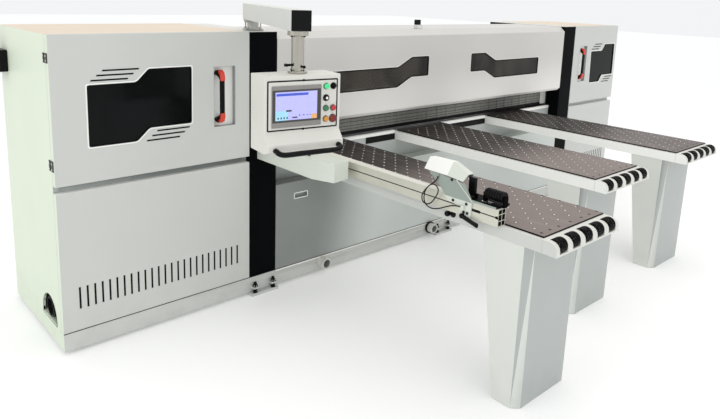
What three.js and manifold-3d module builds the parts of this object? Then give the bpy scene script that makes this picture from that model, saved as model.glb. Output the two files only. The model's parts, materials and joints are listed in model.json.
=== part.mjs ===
// Panel saw: a horizontal beam saw with a portal, two end cabinets, a hooded pressure beam,
// three air tables in front, a side fence with a readout stop, a swinging console and a
// rear feed table with a pusher. Millimetres, +Z up, the operator stands at -Y.
import * as THREE from "three";
import { mergeVertices } from "three/addons/utils/BufferGeometryUtils.js";
import Module from "manifold-3d";

const wasm = await Module();
wasm.setup();

// Driving dimensions of the whole machine
const opening = 3400; // clear width between the columns
const columnWidth = 205;
const leftCabinetWidth = 1160;
const rightCabinetWidth = 880;
const bodyDepth = 900;
const bodyHeight = 1725;
const workHeight = 929; // top of the air tables and of the saw bed
const plinthBottom = 20;
const plinthTop = 124;
const rearEnd = 4200; // back end of the rear feed table
const seat = 0.3; // gap between pieces that touch
const overrun = 5; // how far a cutter runs past the piece it cuts

const halfOpening = opening / 2;
const columnOuter = halfOpening + columnWidth;
const leftEnd = -columnOuter - leftCabinetWidth;
const rightEnd = columnOuter + rightCabinetWidth;

// Heights that are measured up from the working height or from the top of the body
const lifted = (level, rises) =>
  Object.fromEntries(Object.entries(rises).map(([name, rise]) => [name, level + rise]));
const fromWork = (rises) => lifted(workHeight, rises);
const fromTop = (rises) => lifted(bodyHeight, rises);

// Rises over the working height (or under it, where negative), piece by piece
const workRise = {
  portal: { tunnelTop: 123 },
  cabinet: { railBottom: -44, railTop: 34 },
  panel: { top: -24 },
  door: { bottom: 14 },
  skirt: { top: -213 },
  latch: { bottom: -332 },
  rail: { bottom: -509, top: -289 },
  carriage: { bottom: -529, top: -169 },
  head: { bottom: -409, top: -149 },
  mainSaw: { height: -228 },
  scorer: { height: -188 },
  pressure: { bottom: 111, top: 247, slotTop: 208 },
  cover: { bottom: 168, rearBottom: 271 },
  curtain: { bottom: 11, top: 147 },
  table: { frameBottom: -71, capTop: -6 },
  housing: { bottom: -10, top: 103 },
  bracket: { top: 173, bottom: -6, upperHeight: 165, lowerHeight: 38 },
  lever: { pivotZ: -4 },
  feed: { top: -4 },
  gantry: { bottom: 81, top: 221 },
};
// Rises over the top of the body (or under it, where negative), piece by piece
const topRise = {
  portal: { top: -3, beamBottom: -475, beamTop: -125 },
  isolator: { bottom: -264, top: -137, tip: -59 },
  cover: { top: -5 },
  arm: { bottom: 64 },
  box: { top: -140, bottom: -508, kink: -415, chinTop: -461, chinBottom: -492 },
  face: { bottom: -399, top: -164 },
  screen: { bottom: -385, top: -187 },
  grip: { top: -485, bottom: -498 },
  buttonRows: { top: -198, second: -255, third: -306, low: -359 },
};

// Values of each sub-part
const base = { rail: 40, crossWidth: 205 };
const foot = {
  halfWidth: 102, front: 36, back: 60, plate: 18, bolt: 9, boltTop: 91, boltReach: 70,
  boltLine: 20, nut: 16, nutHeight: 12, lugBottom: 48, lug: 12, lugHalf: 20, sink: 6,
};
const stub = { radius: 37, wall: 6, length: 62, height: 80, first: -1300, second: -154 };
const portal = {
  front: 2, tunnelFront: 140, tunnelBack: 775, tunnelBottom: 168, beamFront: 430,
  beamBack: 550, plate: 15, ...fromWork(workRise.portal),
  ...fromTop(topRise.portal),
};
const cabinet = { wall: 10, border: 40, ...fromWork(workRise.cabinet) };
const panel = { thickness: 40, skin: 3, rim: 22, ...fromWork(workRise.panel) };
const vent = { width: 11, bottom: 247, top: 372, pitch: 40.6, inset: 89 };
const outlet = { front: 104, width: 236, top: 275 };
const door = {
  thickness: 40, skin: 6, rim: 20, rebate: 12, glassDepth: 8, glass: 4, frame: 8,
  frameDepth: 24, pocket: 4, ...fromWork(workRise.door),
};
const doorHeight = bodyHeight - door.bottom;
const recessShares = { bottom: 0.2775, top: 0.739 };
const recess = {
  leftInset: 101, leftWidth: 144, rightInset: 125, rightWidth: 135, depth: 32,
  ...lifted(door.bottom, {
    bottom: recessShares.bottom * doorHeight, top: recessShares.top * doorHeight,
  }),
};
const pull = { side: 45, half: 14, gap: 22, reach: 26, grip: 20, foot: 34, slope: 14 };
const isolator = {
  front: 742, back: 896, depth: 90, lever: 14, hub: 30, arm: 24,
  ...fromTop(topRise.isolator),
};
const hose = { radius: 60, bore: 50, ribDepth: 6, ribPitch: 16, ribs: 12, centre: 232 };
const bed = {
  front: 107, back: 760, wall: 15, plate: 20, floor: 145, slotLine: 304, slot: 16,
};
const skirt = { skin: 5, ...fromWork(workRise.skirt) };
const latch = {
  left: -1548, width: 107, height: 34, depth: 14, wall: 3, ...fromWork(workRise.latch),
};
const rail = {
  front: 690, bar: 20, barHeight: 30, barInset: 20, leftGap: 235, rightGap: 45,
  ...fromWork(workRise.rail),
};
const carriage = {
  home: -2350, half: 400, plateFront: 640, plateBack: 662, shoe: 12, guideHalf: 15,
  guideFront: 624, guidePlace: 250, ...fromWork(workRise.carriage),
};
const head = {
  front: 594, back: 620, half: 320, shoe: 16, ...fromWork(workRise.head),
};
const mainSaw = {
  place: -120, ...fromWork(workRise.mainSaw), radius: 200, bore: 15, hub: 45, hubHalf: 14, plateHalf: 2.2,
  tooth: 9, motor: 72, motorFront: 345, shaftEnd: 286, teeth: 24,
};
const scorer = {
  place: 200, ...fromWork(workRise.scorer), radius: 90, bore: 10, hub: 28, hubHalf: 10, plateHalf: 2.2,
  tooth: 6, motor: 44, motorFront: 365, shaftEnd: 290, teeth: 16,
};
const pressure = {
  front: 215, back: 395, slotFront: 283, slotBack: 325,
  ...fromWork(workRise.pressure),
};
const cover = {
  lowerBevel: 24, lowerInset: 22, upperBevel: 45, upperInset: 48, back: 560, flange: 170,
  skin: 4, glass: 4, glassMargin: 22, ...fromWork(workRise.cover),
  ...fromTop(topRise.cover),
};
const curtain = {
  line: 150, thickness: 3, left: -1650, right: 1600, slit: 3, clamp: 9,
  ...fromWork(workRise.curtain),
};
const table = {
  top: 540, lip: 26, plate: 8, wall: 20, deck: 8, capGap: 9, cap: 85, capRound: 40,
  ...fromWork(workRise.table),
};
const tableInner = bed.front - seat;
const tablePlaces = {
  left: { side: -1574, outer: -1915 },
  middle: { side: -475, outer: -1575 },
  right: { side: 679, outer: -1575 },
};
const roller = { radius: 35, width: 64, axle: 8, clearance: 1.5, slotBack: 57, lip: 10 };
const leg = {
  bottom: { left: 40, right: 71, front: 75, depth: 146, chamferX: 38, chamferY: 37 },
  top: { left: 5, right: 88, front: 55, depth: 260, chamferX: 48, chamferY: 28 },
  sheet: 5,
};
const fence = {
  width: 58, height: 86, front: -1703, web: 4, groove: 6, grooveShare: 0.52,
};
const fenceRowShares = [0.3, 0.67];
const housing = {
  left: -1847, right: -1672, side: 563, nose: 705, noseRight: 683, noseInset: 50, skin: 5,
  ...fromWork(workRise.housing),
};
const bracket = {
  thickness: 8, front: -1552, length: 286, plateTop: 10, plateFront: -1694,
  plateBack: -1500, reach: 41, cheek: 9, cheekHalf: 16, cheekTop: 52, socket: 12,
  upperSocket: -1335, upperHalf: 6, lowerSocket: -1503, lowerHalf: 9,
  ...fromWork(workRise.bracket),
};
const hood = {
  back: -1236, bend: -1392, front: -1490, sheet: 3, width: 82, ridge: 42,
  backLift: 1.3, bendLift: -1.7, frontLift: -9.7, backRise: 59, bendRise: 63, frontRise: 22,
};
const flip = { place: -1513, half: 20, thick: 16, height: 91, lift: 13, centre: -1590 };
const stopRoller = {
  front: -1697, back: -1592, radius: 27, axle: 6, lift: 37, line: -1580, ribs: 7,
};
const lever = {
  pivotY: -1503, hub: 13, thick: 14, length: 97, drop: 25, tip: 9,
  ...fromWork(workRise.lever),
};
const arm = {
  pivotX: -1781, pivotY: 155, size: 100, reach: 1158, tail: 80, wall: 4, flange: 55,
  flangeHeight: 10, stem: 32, ...fromTop(topRise.arm),
};
const armSwing = -21.5; // degrees, seen from above
const consoleSwing = 12.2; // degrees, of the console on its arm
const post = {
  back: 60, radius: 31, flange: 48, flangeHeight: 12, collar: 51, collarHeight: 22,
};
const box = {
  left: -211, right: 195, back: 75, front: 84, chin: 124, skin: 3,
  ...fromTop(topRise.box),
};
const face = {
  left: -196, right: 177, seal: 4, flange: 8, thickness: 15, proud: 1,
  ...fromTop(topRise.face),
};
const screen = { left: -176, right: 86, proud: 6, ...fromTop(topRise.screen) };
const grip = {
  left: -172, right: 166, reach: 42, radius: 13, ...fromTop(topRise.grip),
};
const button = {
  stem: 8, head: 13, mushroom: 18, height: 8, inside: 12, travel: 4, hole: 8.5,
};
const buttonColumns = { inner: 114, outer: 154 };
const buttonRows = fromTop(topRise.buttonRows);
const feed = {
  beam: 60, beamSpan: 1640, beamHeight: 60, lanes: 5, lane: 40, cross: 50,
  crossHeight: 90, legWidth: 80, legPlaces: [1500, 4090], ...fromWork(workRise.feed),
};
const gantry = {
  place: 3600, depth: 160, wall: 12, ...fromWork(workRise.gantry), shoe: 300, shoeHeight: 75,
  armWidth: 70, armReach: 320, jaw: 40, jawHeight: 34, mouth: 90, barDepth: 40,
};

// Finishes
const paint = (color, roughness, metalness) =>
  new THREE.MeshStandardMaterial({ color, roughness, metalness });
const lightGrey = paint(0xd3d5d0, 0.45, 0.1);
const paleGreen = paint(0xdfe6d8, 0.45, 0.1);
const nearBlack = paint(0x15161a, 0.5, 0.1);
const laminate = paint(0x4c4645, 0.5, 0);
const rubberBlack = paint(0x1c1c1c, 0.75, 0);
const tinted = paint(0x16181a, 0.1, 0);
const aluminium = paint(0xd8d6cc, 0.4, 0.8);
const steel = paint(0xb0b3b5, 0.35, 0.9);
const darkSteel = paint(0x4a4f52, 0.5, 0.6);
const redPlastic = paint(0xc8261f, 0.4, 0);
const greenPlastic = paint(0x2fae62, 0.35, 0);
const amberPlastic = paint(0xd6a030, 0.35, 0);
const whitePlastic = paint(0xf0f0ee, 0.4, 0);
const stripPvc = paint(0xb9b7ad, 0.3, 0);

// A closed geometry as a solid, with its faces turned outwards
function solid(geometry) {
  const bare = geometry.clone();
  for (const name of Object.keys(bare.attributes)) {
    if (name !== "position") bare.deleteAttribute(name);
  }
  const merged = mergeVertices(bare);
  const index = merged.index.array;
  const kept = [];
  for (let i = 0; i < index.length; i += 3) {
    const [a, b, c] = [index[i], index[i + 1], index[i + 2]];
    if (a !== b && b !== c && c !== a) kept.push(a, b, c);
  }
  const place = merged.attributes.position;
  const corner = [0, 1, 2].map(() => new THREE.Vector3());
  let volume = 0;
  for (let i = 0; i < kept.length; i += 3) {
    corner.forEach((v, k) => v.fromBufferAttribute(place, kept[i + k]));
    volume += corner[0].dot(corner[1].clone().cross(corner[2]));
  }
  if (volume < 0) {
    for (let i = 0; i < kept.length; i += 3) {
      [kept[i], kept[i + 1]] = [kept[i + 1], kept[i]];
    }
  }
  return new wasm.Manifold(new wasm.Mesh({
    numProp: 3,
    vertProperties: new Float32Array(place.array),
    triVerts: new Uint32Array(kept),
  }));
}

// A solid back as a named mesh
function node(name, shape, material) {
  const result = shape.getMesh();
  const geometry = new THREE.BufferGeometry();
  geometry.setAttribute("position", new THREE.BufferAttribute(result.vertProperties, 3));
  geometry.setIndex(new THREE.BufferAttribute(result.triVerts, 1));
  geometry.computeVertexNormals();
  const mesh = new THREE.Mesh(geometry, material);
  mesh.name = name;
  return mesh;
}

const union = (...shapes) => shapes.reduce((sum, shape) => sum.add(shape));
const cut = (body, ...tools) => tools.reduce((left, tool) => left.subtract(tool), body);

// A block from its lowest and highest value on each axis
function block([x0, x1], [y0, y1], [z0, z1]) {
  const geometry = new THREE.BoxGeometry(x1 - x0, y1 - y0, z1 - z0);
  geometry.translate((x0 + x1) / 2, (y0 + y1) / 2, (z0 + z1) / 2);
  return solid(geometry);
}

// Turns a geometry made along +Z so that it runs along the axis named
function turn(geometry, axis) {
  const across = {
    x: new THREE.Matrix4().set(0, 0, 1, 0, 1, 0, 0, 0, 0, 1, 0, 0, 0, 0, 0, 1),
    y: new THREE.Matrix4().set(1, 0, 0, 0, 0, 0, -1, 0, 0, 1, 0, 0, 0, 0, 0, 1),
    z: new THREE.Matrix4(),
  };
  return geometry.applyMatrix4(across[axis]);
}

// An outline pulled along an axis; the outline is in (y,z), (x,z) or (x,y)
function prism(axis, outline, from, to) {
  const shape = new THREE.Shape(outline.map(([a, b]) => new THREE.Vector2(a, b)));
  const geometry = new THREE.ExtrudeGeometry(shape, { depth: to - from, bevelEnabled: false });
  turn(geometry, axis);
  const start = { x: [from, 0, 0], y: [0, to, 0], z: [0, 0, from] }[axis];
  geometry.translate(...start);
  return solid(geometry);
}

// A round rod along an axis, from its centre
function rod(axis, [x, y, z], radius, length, sides = 16) {
  const geometry = new THREE.CylinderGeometry(radius, radius, length, sides);
  geometry.rotateX(Math.PI / 2);
  turn(geometry, axis);
  geometry.translate(x, y, z);
  return solid(geometry);
}

// A turned piece: the profile is [radius, place along the axis]
function turned(axis, [x, y, z], profile, sides = 16) {
  const points = profile.map(([r, a]) => new THREE.Vector2(r, a));
  const geometry = new THREE.LatheGeometry(points, sides);
  geometry.rotateX(Math.PI / 2);
  turn(geometry, axis);
  geometry.translate(x, y, z);
  return solid(geometry);
}

// A skin stretched over outlines that have equal counts of points, each a list of [x,y,z];
// plane says which two of the three the end caps are flat in. Each field is cut along its
// shorter diagonal, so the two skins of a sheet fold the same way
function loft(stations, [a, b]) {
  const count = stations[0].length;
  const points = stations.flat().map((point) => new THREE.Vector3(...point));
  const index = [];
  for (let s = 0; s + 1 < stations.length; s += 1) {
    for (let i = 0; i < count; i += 1) {
      const j = (i + 1) % count;
      const [p, q] = [s * count, (s + 1) * count];
      const forward = points[p + i].distanceTo(points[q + j]);
      const backward = points[p + j].distanceTo(points[q + i]);
      index.push(...(forward <= backward
        ? [p + i, p + j, q + j, p + i, q + j, q + i]
        : [p + i, p + j, q + i, p + j, q + j, q + i]));
    }
  }
  const capFaces = (outline) =>
    THREE.ShapeUtils.triangulateShape(outline.map((v) => new THREE.Vector2(v[a], v[b])), []);
  const last = (stations.length - 1) * count;
  const turnedWay = THREE.ShapeUtils.isClockWise(
    stations[0].map((v) => new THREE.Vector2(v[a], v[b])));
  for (const [i, j, k] of capFaces(stations[0])) {
    index.push(...(turnedWay ? [i, j, k] : [i, k, j]));
  }
  for (const [i, j, k] of capFaces(stations[stations.length - 1])) {
    index.push(...(turnedWay ? [last + i, last + k, last + j] : [last + i, last + j, last + k]));
  }
  const geometry = new THREE.BufferGeometry();
  geometry.setAttribute("position", new THREE.Float32BufferAttribute(stations.flat(2), 3));
  geometry.setIndex(index);
  return solid(geometry);
}

// An outline moved outwards by a distance; the outline runs anticlockwise
function grown(outline, distance) {
  const count = outline.length;
  return outline.map(([x, y], i) => {
    const [px, py] = outline[(i + count - 1) % count];
    const [nx, ny] = outline[(i + 1) % count];
    const before = new THREE.Vector2(x - px, y - py).normalize();
    const after = new THREE.Vector2(nx - x, ny - y).normalize();
    const sideways = new THREE.Vector2(before.y + after.y, -before.x - after.x);
    const square = 1 + before.dot(after);
    return [x + (sideways.x * distance) / square, y + (sideways.y * distance) / square];
  });
}

// An outline with its corners rounded, each by a short curve
function rounded(outline, radius, steps = 2) {
  const count = outline.length;
  return outline.flatMap(([x, y], i) => {
    const here = new THREE.Vector2(x, y);
    const before = new THREE.Vector2(...outline[(i + count - 1) % count]);
    const after = new THREE.Vector2(...outline[(i + 1) % count]);
    const start = here.clone().add(before.sub(here).setLength(radius));
    const end = here.clone().add(after.sub(here).setLength(radius));
    const bend = new THREE.QuadraticBezierCurve(start, here, end);
    return bend.getPoints(steps).map((v) => [v.x, v.y]);
  });
}

const mirrored = (outline, about) => outline.map(([x, z]) => [2 * about - x, z]).reverse();

// A foot plate under the plinth; the ones in front have two jacking bolts in lugs
function levellingFoot(x, faceY, outward) {
  const span = (from, to) => [from, to].sort((a, b) => a - b);
  const out = faceY + outward * foot.front;
  const inside = faceY - outward * foot.back;
  const plate = block([x - foot.halfWidth, x + foot.halfWidth], span(out, inside), [0, foot.plate]);
  const pad = block(
    [x - foot.boltReach, x + foot.boltReach],
    span(faceY - outward * foot.sink, inside),
    [foot.plate - foot.sink, plinthBottom + foot.sink],
  );
  const boltLine = faceY + outward * foot.boltLine;
  const pieces = [plate, pad];
  for (const side of outward < 0 ? [-1, 1] : []) {
    const bx = x + side * foot.boltReach;
    const length = foot.boltTop - foot.sink;
    pieces.push(rod("z", [bx, boltLine, foot.sink + length / 2], foot.bolt, length, 8));
    const nutMiddle = foot.lugBottom + foot.lug + foot.nutHeight / 2;
    pieces.push(rod("z", [bx, boltLine, nutMiddle], foot.nut, foot.nutHeight + seat, 6));
    pieces.push(block(
      [bx - foot.lugHalf, bx + foot.lugHalf],
      span(out, faceY - outward * foot.sink),
      [foot.lugBottom, foot.lugBottom + foot.lug],
    ));
  }
  return union(...pieces);
}

function baseFrame() {
  const outer = block([leftEnd, rightEnd], [0, bodyDepth], [plinthBottom, plinthTop]);
  const bays = [
    [leftEnd + base.rail, -columnOuter],
    [-halfOpening, -base.crossWidth / 2],
    [base.crossWidth / 2, halfOpening],
    [columnOuter, rightEnd - base.rail],
  ];
  const past = [plinthBottom - overrun, plinthTop + overrun];
  let frame = outer;
  for (const bay of bays) {
    frame = frame.subtract(block(bay, [base.rail, bodyDepth - base.rail], past));
  }
  const footPlaces = [-halfOpening - columnWidth / 2, 0, halfOpening + columnWidth / 2];
  for (const x of footPlaces) {
    frame = frame.add(levellingFoot(x, 0, -1)).add(levellingFoot(x, bodyDepth, 1));
  }
  for (const x of [stub.first, stub.second]) {
    const length = stub.length + overrun;
    const middle = [x, (overrun - stub.length) / 2, stub.height];
    const bore = rod("y", [x, 0, stub.height], stub.radius - stub.wall, 4 * stub.length, 16);
    frame = frame.add(rod("y", middle, stub.radius, length, 16)).subtract(bore);
  }
  return node("base_frame", frame, lightGrey);
}

function portalFrame() {
  const columns = [-1, 1].map((side) => {
    const span = [side * halfOpening, side * columnOuter].sort((a, b) => a - b);
    const past = [span[0] - overrun, span[1] + overrun];
    const column = block(span, [portal.front, bodyDepth], [plinthTop + seat, portal.top]);
    const tunnel = block(
      past,
      [portal.tunnelFront, portal.tunnelBack],
      [portal.tunnelBottom, portal.tunnelTop],
    );
    const hollow = block(
      [span[0] + portal.plate, span[1] - portal.plate],
      [portal.front + portal.plate, bodyDepth - portal.plate],
      [plinthTop + portal.plate, portal.top - portal.plate],
    );
    return cut(column, tunnel, hollow);
  });
  const beam = block(
    [-halfOpening - overrun, halfOpening + overrun],
    [portal.beamFront, portal.beamBack],
    [portal.beamBottom, portal.beamTop],
  );
  const bore = block(
    [-halfOpening - 2 * portal.plate, halfOpening + 2 * portal.plate],
    [portal.beamFront + portal.plate, portal.beamBack - portal.plate],
    [portal.beamBottom + portal.plate, portal.beamTop - portal.plate],
  );
  const frame = union(columns[0], columns[1], beam).subtract(bore);
  return node("portal_frame", frame, nearBlack);
}

// The two cabinets share their functions; side is -1 on the left and 1 on the right
function cabinetSpan(side) {
  return side < 0 ? [leftEnd, -columnOuter - seat] : [columnOuter + seat, rightEnd];
}

function cabinetShell(side) {
  const [x0, x1] = cabinetSpan(side);
  const front = door.thickness + seat;
  const z0 = plinthTop + seat;
  const wall = cabinet.wall;
  const inner = side < 0 ? [x0 + wall, x1 + overrun] : [x0 - overrun, x1 - wall];
  const deep = [front + wall, bodyDepth - wall];
  const mouth = [front - overrun, front + wall + overrun];
  const border = cabinet.border;
  const mouthWidth = [x0 + border, x1 - border];
  let shell = cut(
    block([x0, x1], [front, bodyDepth], [z0, bodyHeight]),
    block(inner, deep, [z0 + wall, bodyHeight - wall]),
    block(mouthWidth, mouth, [z0 + border, cabinet.railBottom]),
    block(mouthWidth, mouth, [cabinet.railTop, bodyHeight - border]),
  );
  if (side < 0) {
    shell = shell.subtract(prism("x", outletOutline(0), x0 - overrun, x0 + wall + overrun));
  }
  return node(side < 0 ? "left_cabinet" : "right_cabinet", shell, paleGreen);
}

// The arched cut in the left side wall, for the dust hose
function outletOutline(margin) {
  const radius = outlet.width / 2 - margin;
  const centre = outlet.front + outlet.width / 2;
  const spring = outlet.top - margin - radius;
  const arc = new THREE.EllipseCurve(centre, spring, radius, radius, 0, Math.PI);
  const bottom = plinthTop + seat + cabinet.wall;
  const arch = arc.getPoints(8).map((v) => [v.x, v.y]);
  return [[centre - radius, bottom], [centre + radius, bottom], ...arch];
}

function lowerPanel(side) {
  const [x0, x1] = cabinetSpan(side);
  const z0 = plinthTop + seat;
  const tray = cut(
    block([x0, x1], [0, panel.thickness], [z0, panel.top]),
    block(
      [x0 + panel.rim, x1 - panel.rim],
      [panel.skin, panel.thickness + overrun],
      [z0 + panel.rim, panel.top - panel.rim],
    ),
  );
  const first = x0 + vent.inset;
  const count = Math.floor((x1 - vent.inset - first) / vent.pitch) + 1;
  let slotted = tray;
  for (let i = 0; i < count; i += 1) {
    const left = first + i * vent.pitch;
    slotted = slotted.subtract(block(
      [left, left + vent.width],
      [-overrun, panel.skin + overrun],
      [vent.bottom, vent.top],
    ));
  }
  return node(side < 0 ? "left_lower_panel" : "right_lower_panel", slotted, lightGrey);
}

// Corners of a door window, as shares of the door's width and of its height
const windowShares = {
  left: [0.155, 0.382, 0.443, 0.666, 0.663, 0.443, 0.379, 0.154],
  right: [0.394, 0.645, 0.709, 0.949, 0.96, 0.697, 0.638, 0.409],
};
const windowHeightShares = { high: 0.665, highStep: 0.753, low: 0.33, lowStep: 0.243 };
const windowCorner = 16;

function doorWindow(side) {
  const [x0, x1] = cabinetSpan(side);
  const shares = side < 0 ? windowShares.left : windowShares.right;
  const { high, highStep, low, lowStep } = windowHeightShares;
  const heights = [high, high, highStep, highStep, low, low, lowStep, lowStep];
  const outline = shares.map((share, i) =>
    [x0 + share * (x1 - x0), door.bottom + heights[i] * doorHeight]);
  return rounded(outline.reverse(), windowCorner);
}

function recessSpan(side) {
  const [x0, x1] = cabinetSpan(side);
  return side < 0
    ? [x1 - recess.leftInset - recess.leftWidth, x1 - recess.leftInset]
    : [x0 + recess.rightInset, x0 + recess.rightInset + recess.rightWidth];
}

function doorLeaf(side) {
  const [x0, x1] = cabinetSpan(side);
  const glazed = doorWindow(side);
  const [left, right] = recessSpan(side);
  const { pocket, rim, skin, thickness } = door;
  const pan = cut(
    block([x0, x1], [0, thickness], [door.bottom, bodyHeight]),
    block(
      [x0 + rim, x1 - rim],
      [skin, thickness + overrun],
      [door.bottom + rim, bodyHeight - rim],
    ),
  );
  const windowFrame = prism("y", grown(glazed, door.rebate + door.frame), 0, door.frameDepth);
  const pocketBox = block(
    [left - pocket, right + pocket],
    [0, recess.depth + pocket],
    [recess.bottom - pocket, recess.top + pocket],
  );
  const leaf = cut(
    union(pan, windowFrame, pocketBox),
    prism("y", glazed, -overrun, thickness + overrun),
    prism("y", grown(glazed, door.rebate), door.glassDepth, thickness + overrun),
    block([left, right], [-overrun, recess.depth], [recess.bottom, recess.top]),
  );
  return node(side < 0 ? "left_door" : "right_door", leaf, lightGrey);
}

function doorGlass(side) {
  const outline = grown(doorWindow(side), door.rebate - seat);
  const from = door.glassDepth + seat;
  const pane = prism("y", outline, from, from + door.glass);
  return node(side < 0 ? "left_door_window" : "right_door_window", pane, tinted);
}

function doorPull(side) {
  const middle = recessSpan(side)[0] + pull.side;
  const [low, high] = [recess.bottom + pull.gap, recess.top - pull.gap];
  const root = recess.depth - seat;
  const face_ = -pull.reach;
  const outline = [
    [root, low], [root, low + pull.foot], [face_ + pull.grip, low + pull.foot + pull.slope],
    [face_ + pull.grip, high - pull.foot - pull.slope], [root, high - pull.foot],
    [root, high], [face_ + pull.slope, high], [face_, high - pull.foot],
    [face_, low + pull.foot], [face_ + pull.slope, low],
  ];
  const shape = prism("x", outline, middle - pull.half, middle + pull.half);
  return node(side < 0 ? "left_door_handle" : "right_door_handle", shape, nearBlack);
}

function isolatorBox() {
  const shape = block(
    [leftEnd - isolator.depth, leftEnd - seat],
    [isolator.front, isolator.back],
    [isolator.bottom, isolator.top],
  );
  return node("isolator_box", shape, nearBlack);
}

function isolatorLever() {
  const y = (isolator.front + isolator.back) / 2;
  const z = (isolator.bottom + isolator.top) / 2;
  const outer = leftEnd - isolator.depth - seat;
  const inner = outer - isolator.lever;
  const hub = rod("x", [(outer + inner) / 2, y, z], isolator.hub, isolator.lever);
  const blade = block(
    [inner, outer],
    [y - isolator.arm / 2, y + isolator.arm / 2],
    [z, isolator.tip],
  );
  return node("isolator_lever", union(hub, blade), redPlastic);
}

function dustHose() {
  const start = leftEnd + overrun;
  const z = plinthTop + cabinet.wall + hose.radius + 2 * seat;
  const outer = [];
  for (let i = 0; i < hose.ribs; i += 1) {
    const at = i * hose.ribPitch;
    outer.push([hose.radius, at], [hose.radius - hose.ribDepth, at + hose.ribPitch / 2]);
  }
  const end = hose.ribs * hose.ribPitch;
  const profile = [[hose.bore, 0], ...outer, [hose.radius, end], [hose.bore, end], [hose.bore, 0]];
  return node("dust_hose", turned("x", [start, hose.centre, z], profile, 12), rubberBlack);
}

function sawBed() {
  const top = workHeight;
  const z0 = plinthTop + seat;
  const { front, back, wall, plate, floor, slotLine, slot } = bed;
  const outline = [
    [front, z0], [back, z0], [back, top], [slotLine + slot / 2, top],
    [slotLine + slot / 2, top - plate], [back - wall, top - plate], [back - wall, floor],
    [front + wall, floor], [front + wall, top - plate], [slotLine - slot / 2, top - plate],
    [slotLine - slot / 2, top], [front, top],
  ];
  const shape = prism("x", outline, -halfOpening + seat, halfOpening - seat);
  return node("saw_bed", shape, darkSteel);
}

function frontPanel() {
  const span = [-halfOpening + seat, halfOpening - seat];
  const z0 = plinthTop + seat;
  const back = bed.front - seat;
  const { skin } = skirt;
  const [left, right] = [latch.left, latch.left + latch.width];
  const [low, high] = [latch.bottom, latch.bottom + latch.height];
  const pan = cut(
    block(span, [0, back], [z0, skirt.top]),
    block(
      [span[0] + skin, span[1] - skin],
      [skin, back + overrun],
      [z0 + skin, skirt.top - skin],
    ),
  );
  const pocket = block(
    [left - latch.wall, right + latch.wall],
    [0, latch.depth + latch.wall],
    [low - latch.wall, high + latch.wall],
  );
  const slot = block([left, right], [-overrun, latch.depth], [low, high]);
  return node("front_panel", union(pan, pocket).subtract(slot), lightGrey);
}

// The beam cover is one folded sheet; its section is in (y, z)
function beamCover() {
  const { bottom, top, skin, back } = cover;
  const outer = [
    [0, bottom + cover.lowerBevel], [cover.lowerInset, bottom], [cover.flange, bottom],
  ];
  const outline = [
    ...outer,
    [cover.flange, bottom + skin],
    [cover.lowerInset + skin / 2, bottom + skin],
    [skin, bottom + cover.lowerBevel + skin / 2],
    [skin, top - cover.upperBevel - skin / 2],
    [cover.upperInset + skin / 2, top - skin],
    [back - skin, top - skin],
    [back - skin, cover.rearBottom],
    [back, cover.rearBottom],
    [back, top],
    [cover.upperInset, top],
    [0, top - cover.upperBevel],
  ];
  const sheet = prism("x", outline, -halfOpening + seat, halfOpening - seat);
  const holes = [coverWindow(), mirrored(coverWindow(), 0)];
  const cutters = holes.map((hole) => prism("y", hole, -overrun, skin + overrun));
  return node("beam_cover", cut(sheet, ...cutters), lightGrey);
}

// Corners of the right window in the cover, from the middle of the machine outwards
const coverGlassShares = { high: 0.6692, low: 0.5553, bottomHigh: 0.4207, bottomLow: 0.3068 };
const coverHeight = cover.top - cover.bottom;
const coverGlass = { left: 262, bendLeft: 456, bendRight: 604, right: 1276, corner: 14 };
const coverGlassHeight = lifted(cover.bottom, {
  high: coverGlassShares.high * coverHeight, low: coverGlassShares.low * coverHeight,
  bottomHigh: coverGlassShares.bottomHigh * coverHeight,
  bottomLow: coverGlassShares.bottomLow * coverHeight,
});

function coverWindow() {
  const { left, bendLeft, bendRight, right, corner } = coverGlass;
  const { high, low, bottomHigh, bottomLow } = coverGlassHeight;
  const outline = [
    [left, bottomHigh], [bendLeft, bottomHigh], [bendRight, bottomLow], [right, bottomLow],
    [right, low], [bendRight, low], [bendLeft, high], [left, high],
  ];
  return rounded(outline, corner);
}

function coverWindows() {
  const reach = coverGlass.right + cover.glassMargin;
  const from = cover.skin + seat;
  const shape = block(
    [-reach, reach],
    [from, from + cover.glass],
    [coverGlassHeight.bottomLow - cover.glassMargin, coverGlassHeight.high + cover.glassMargin],
  );
  return node("cover_windows", shape, tinted);
}

const stripCount = 54;

function safetyCurtain() {
  const { left, right, bottom, top, slit, line, thickness } = curtain;
  const pitch = (right - left) / stripCount;
  const outline = [[right, top + overrun], [left, top + overrun]];
  for (let i = 0; i < stripCount; i += 1) {
    const start = left + i * pitch;
    const end = start + pitch - (i + 1 < stripCount ? slit : 0);
    if (i > 0) outline.push([start, top]);
    outline.push([start, bottom], [end, bottom]);
    if (i + 1 < stripCount) outline.push([end, top]);
  }
  const strips = prism("y", outline, line, line + thickness);
  const clampBar = block(
    [left, right],
    [line - curtain.clamp / 2, line + thickness + curtain.clamp / 2],
    [top, cover.bottom - seat],
  );
  return node("safety_curtain", union(strips, clampBar), stripPvc);
}

function pressureBeam() {
  const p = pressure;
  const outline = [
    [p.front, p.bottom], [p.slotFront, p.bottom], [p.slotFront, p.slotTop],
    [p.slotBack, p.slotTop], [p.slotBack, p.bottom], [p.back, p.bottom], [p.back, p.top],
    [p.front, p.top],
  ];
  const shape = prism("x", outline, -halfOpening + seat, halfOpening - seat);
  return node("pressure_beam", shape, steel);
}

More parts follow.
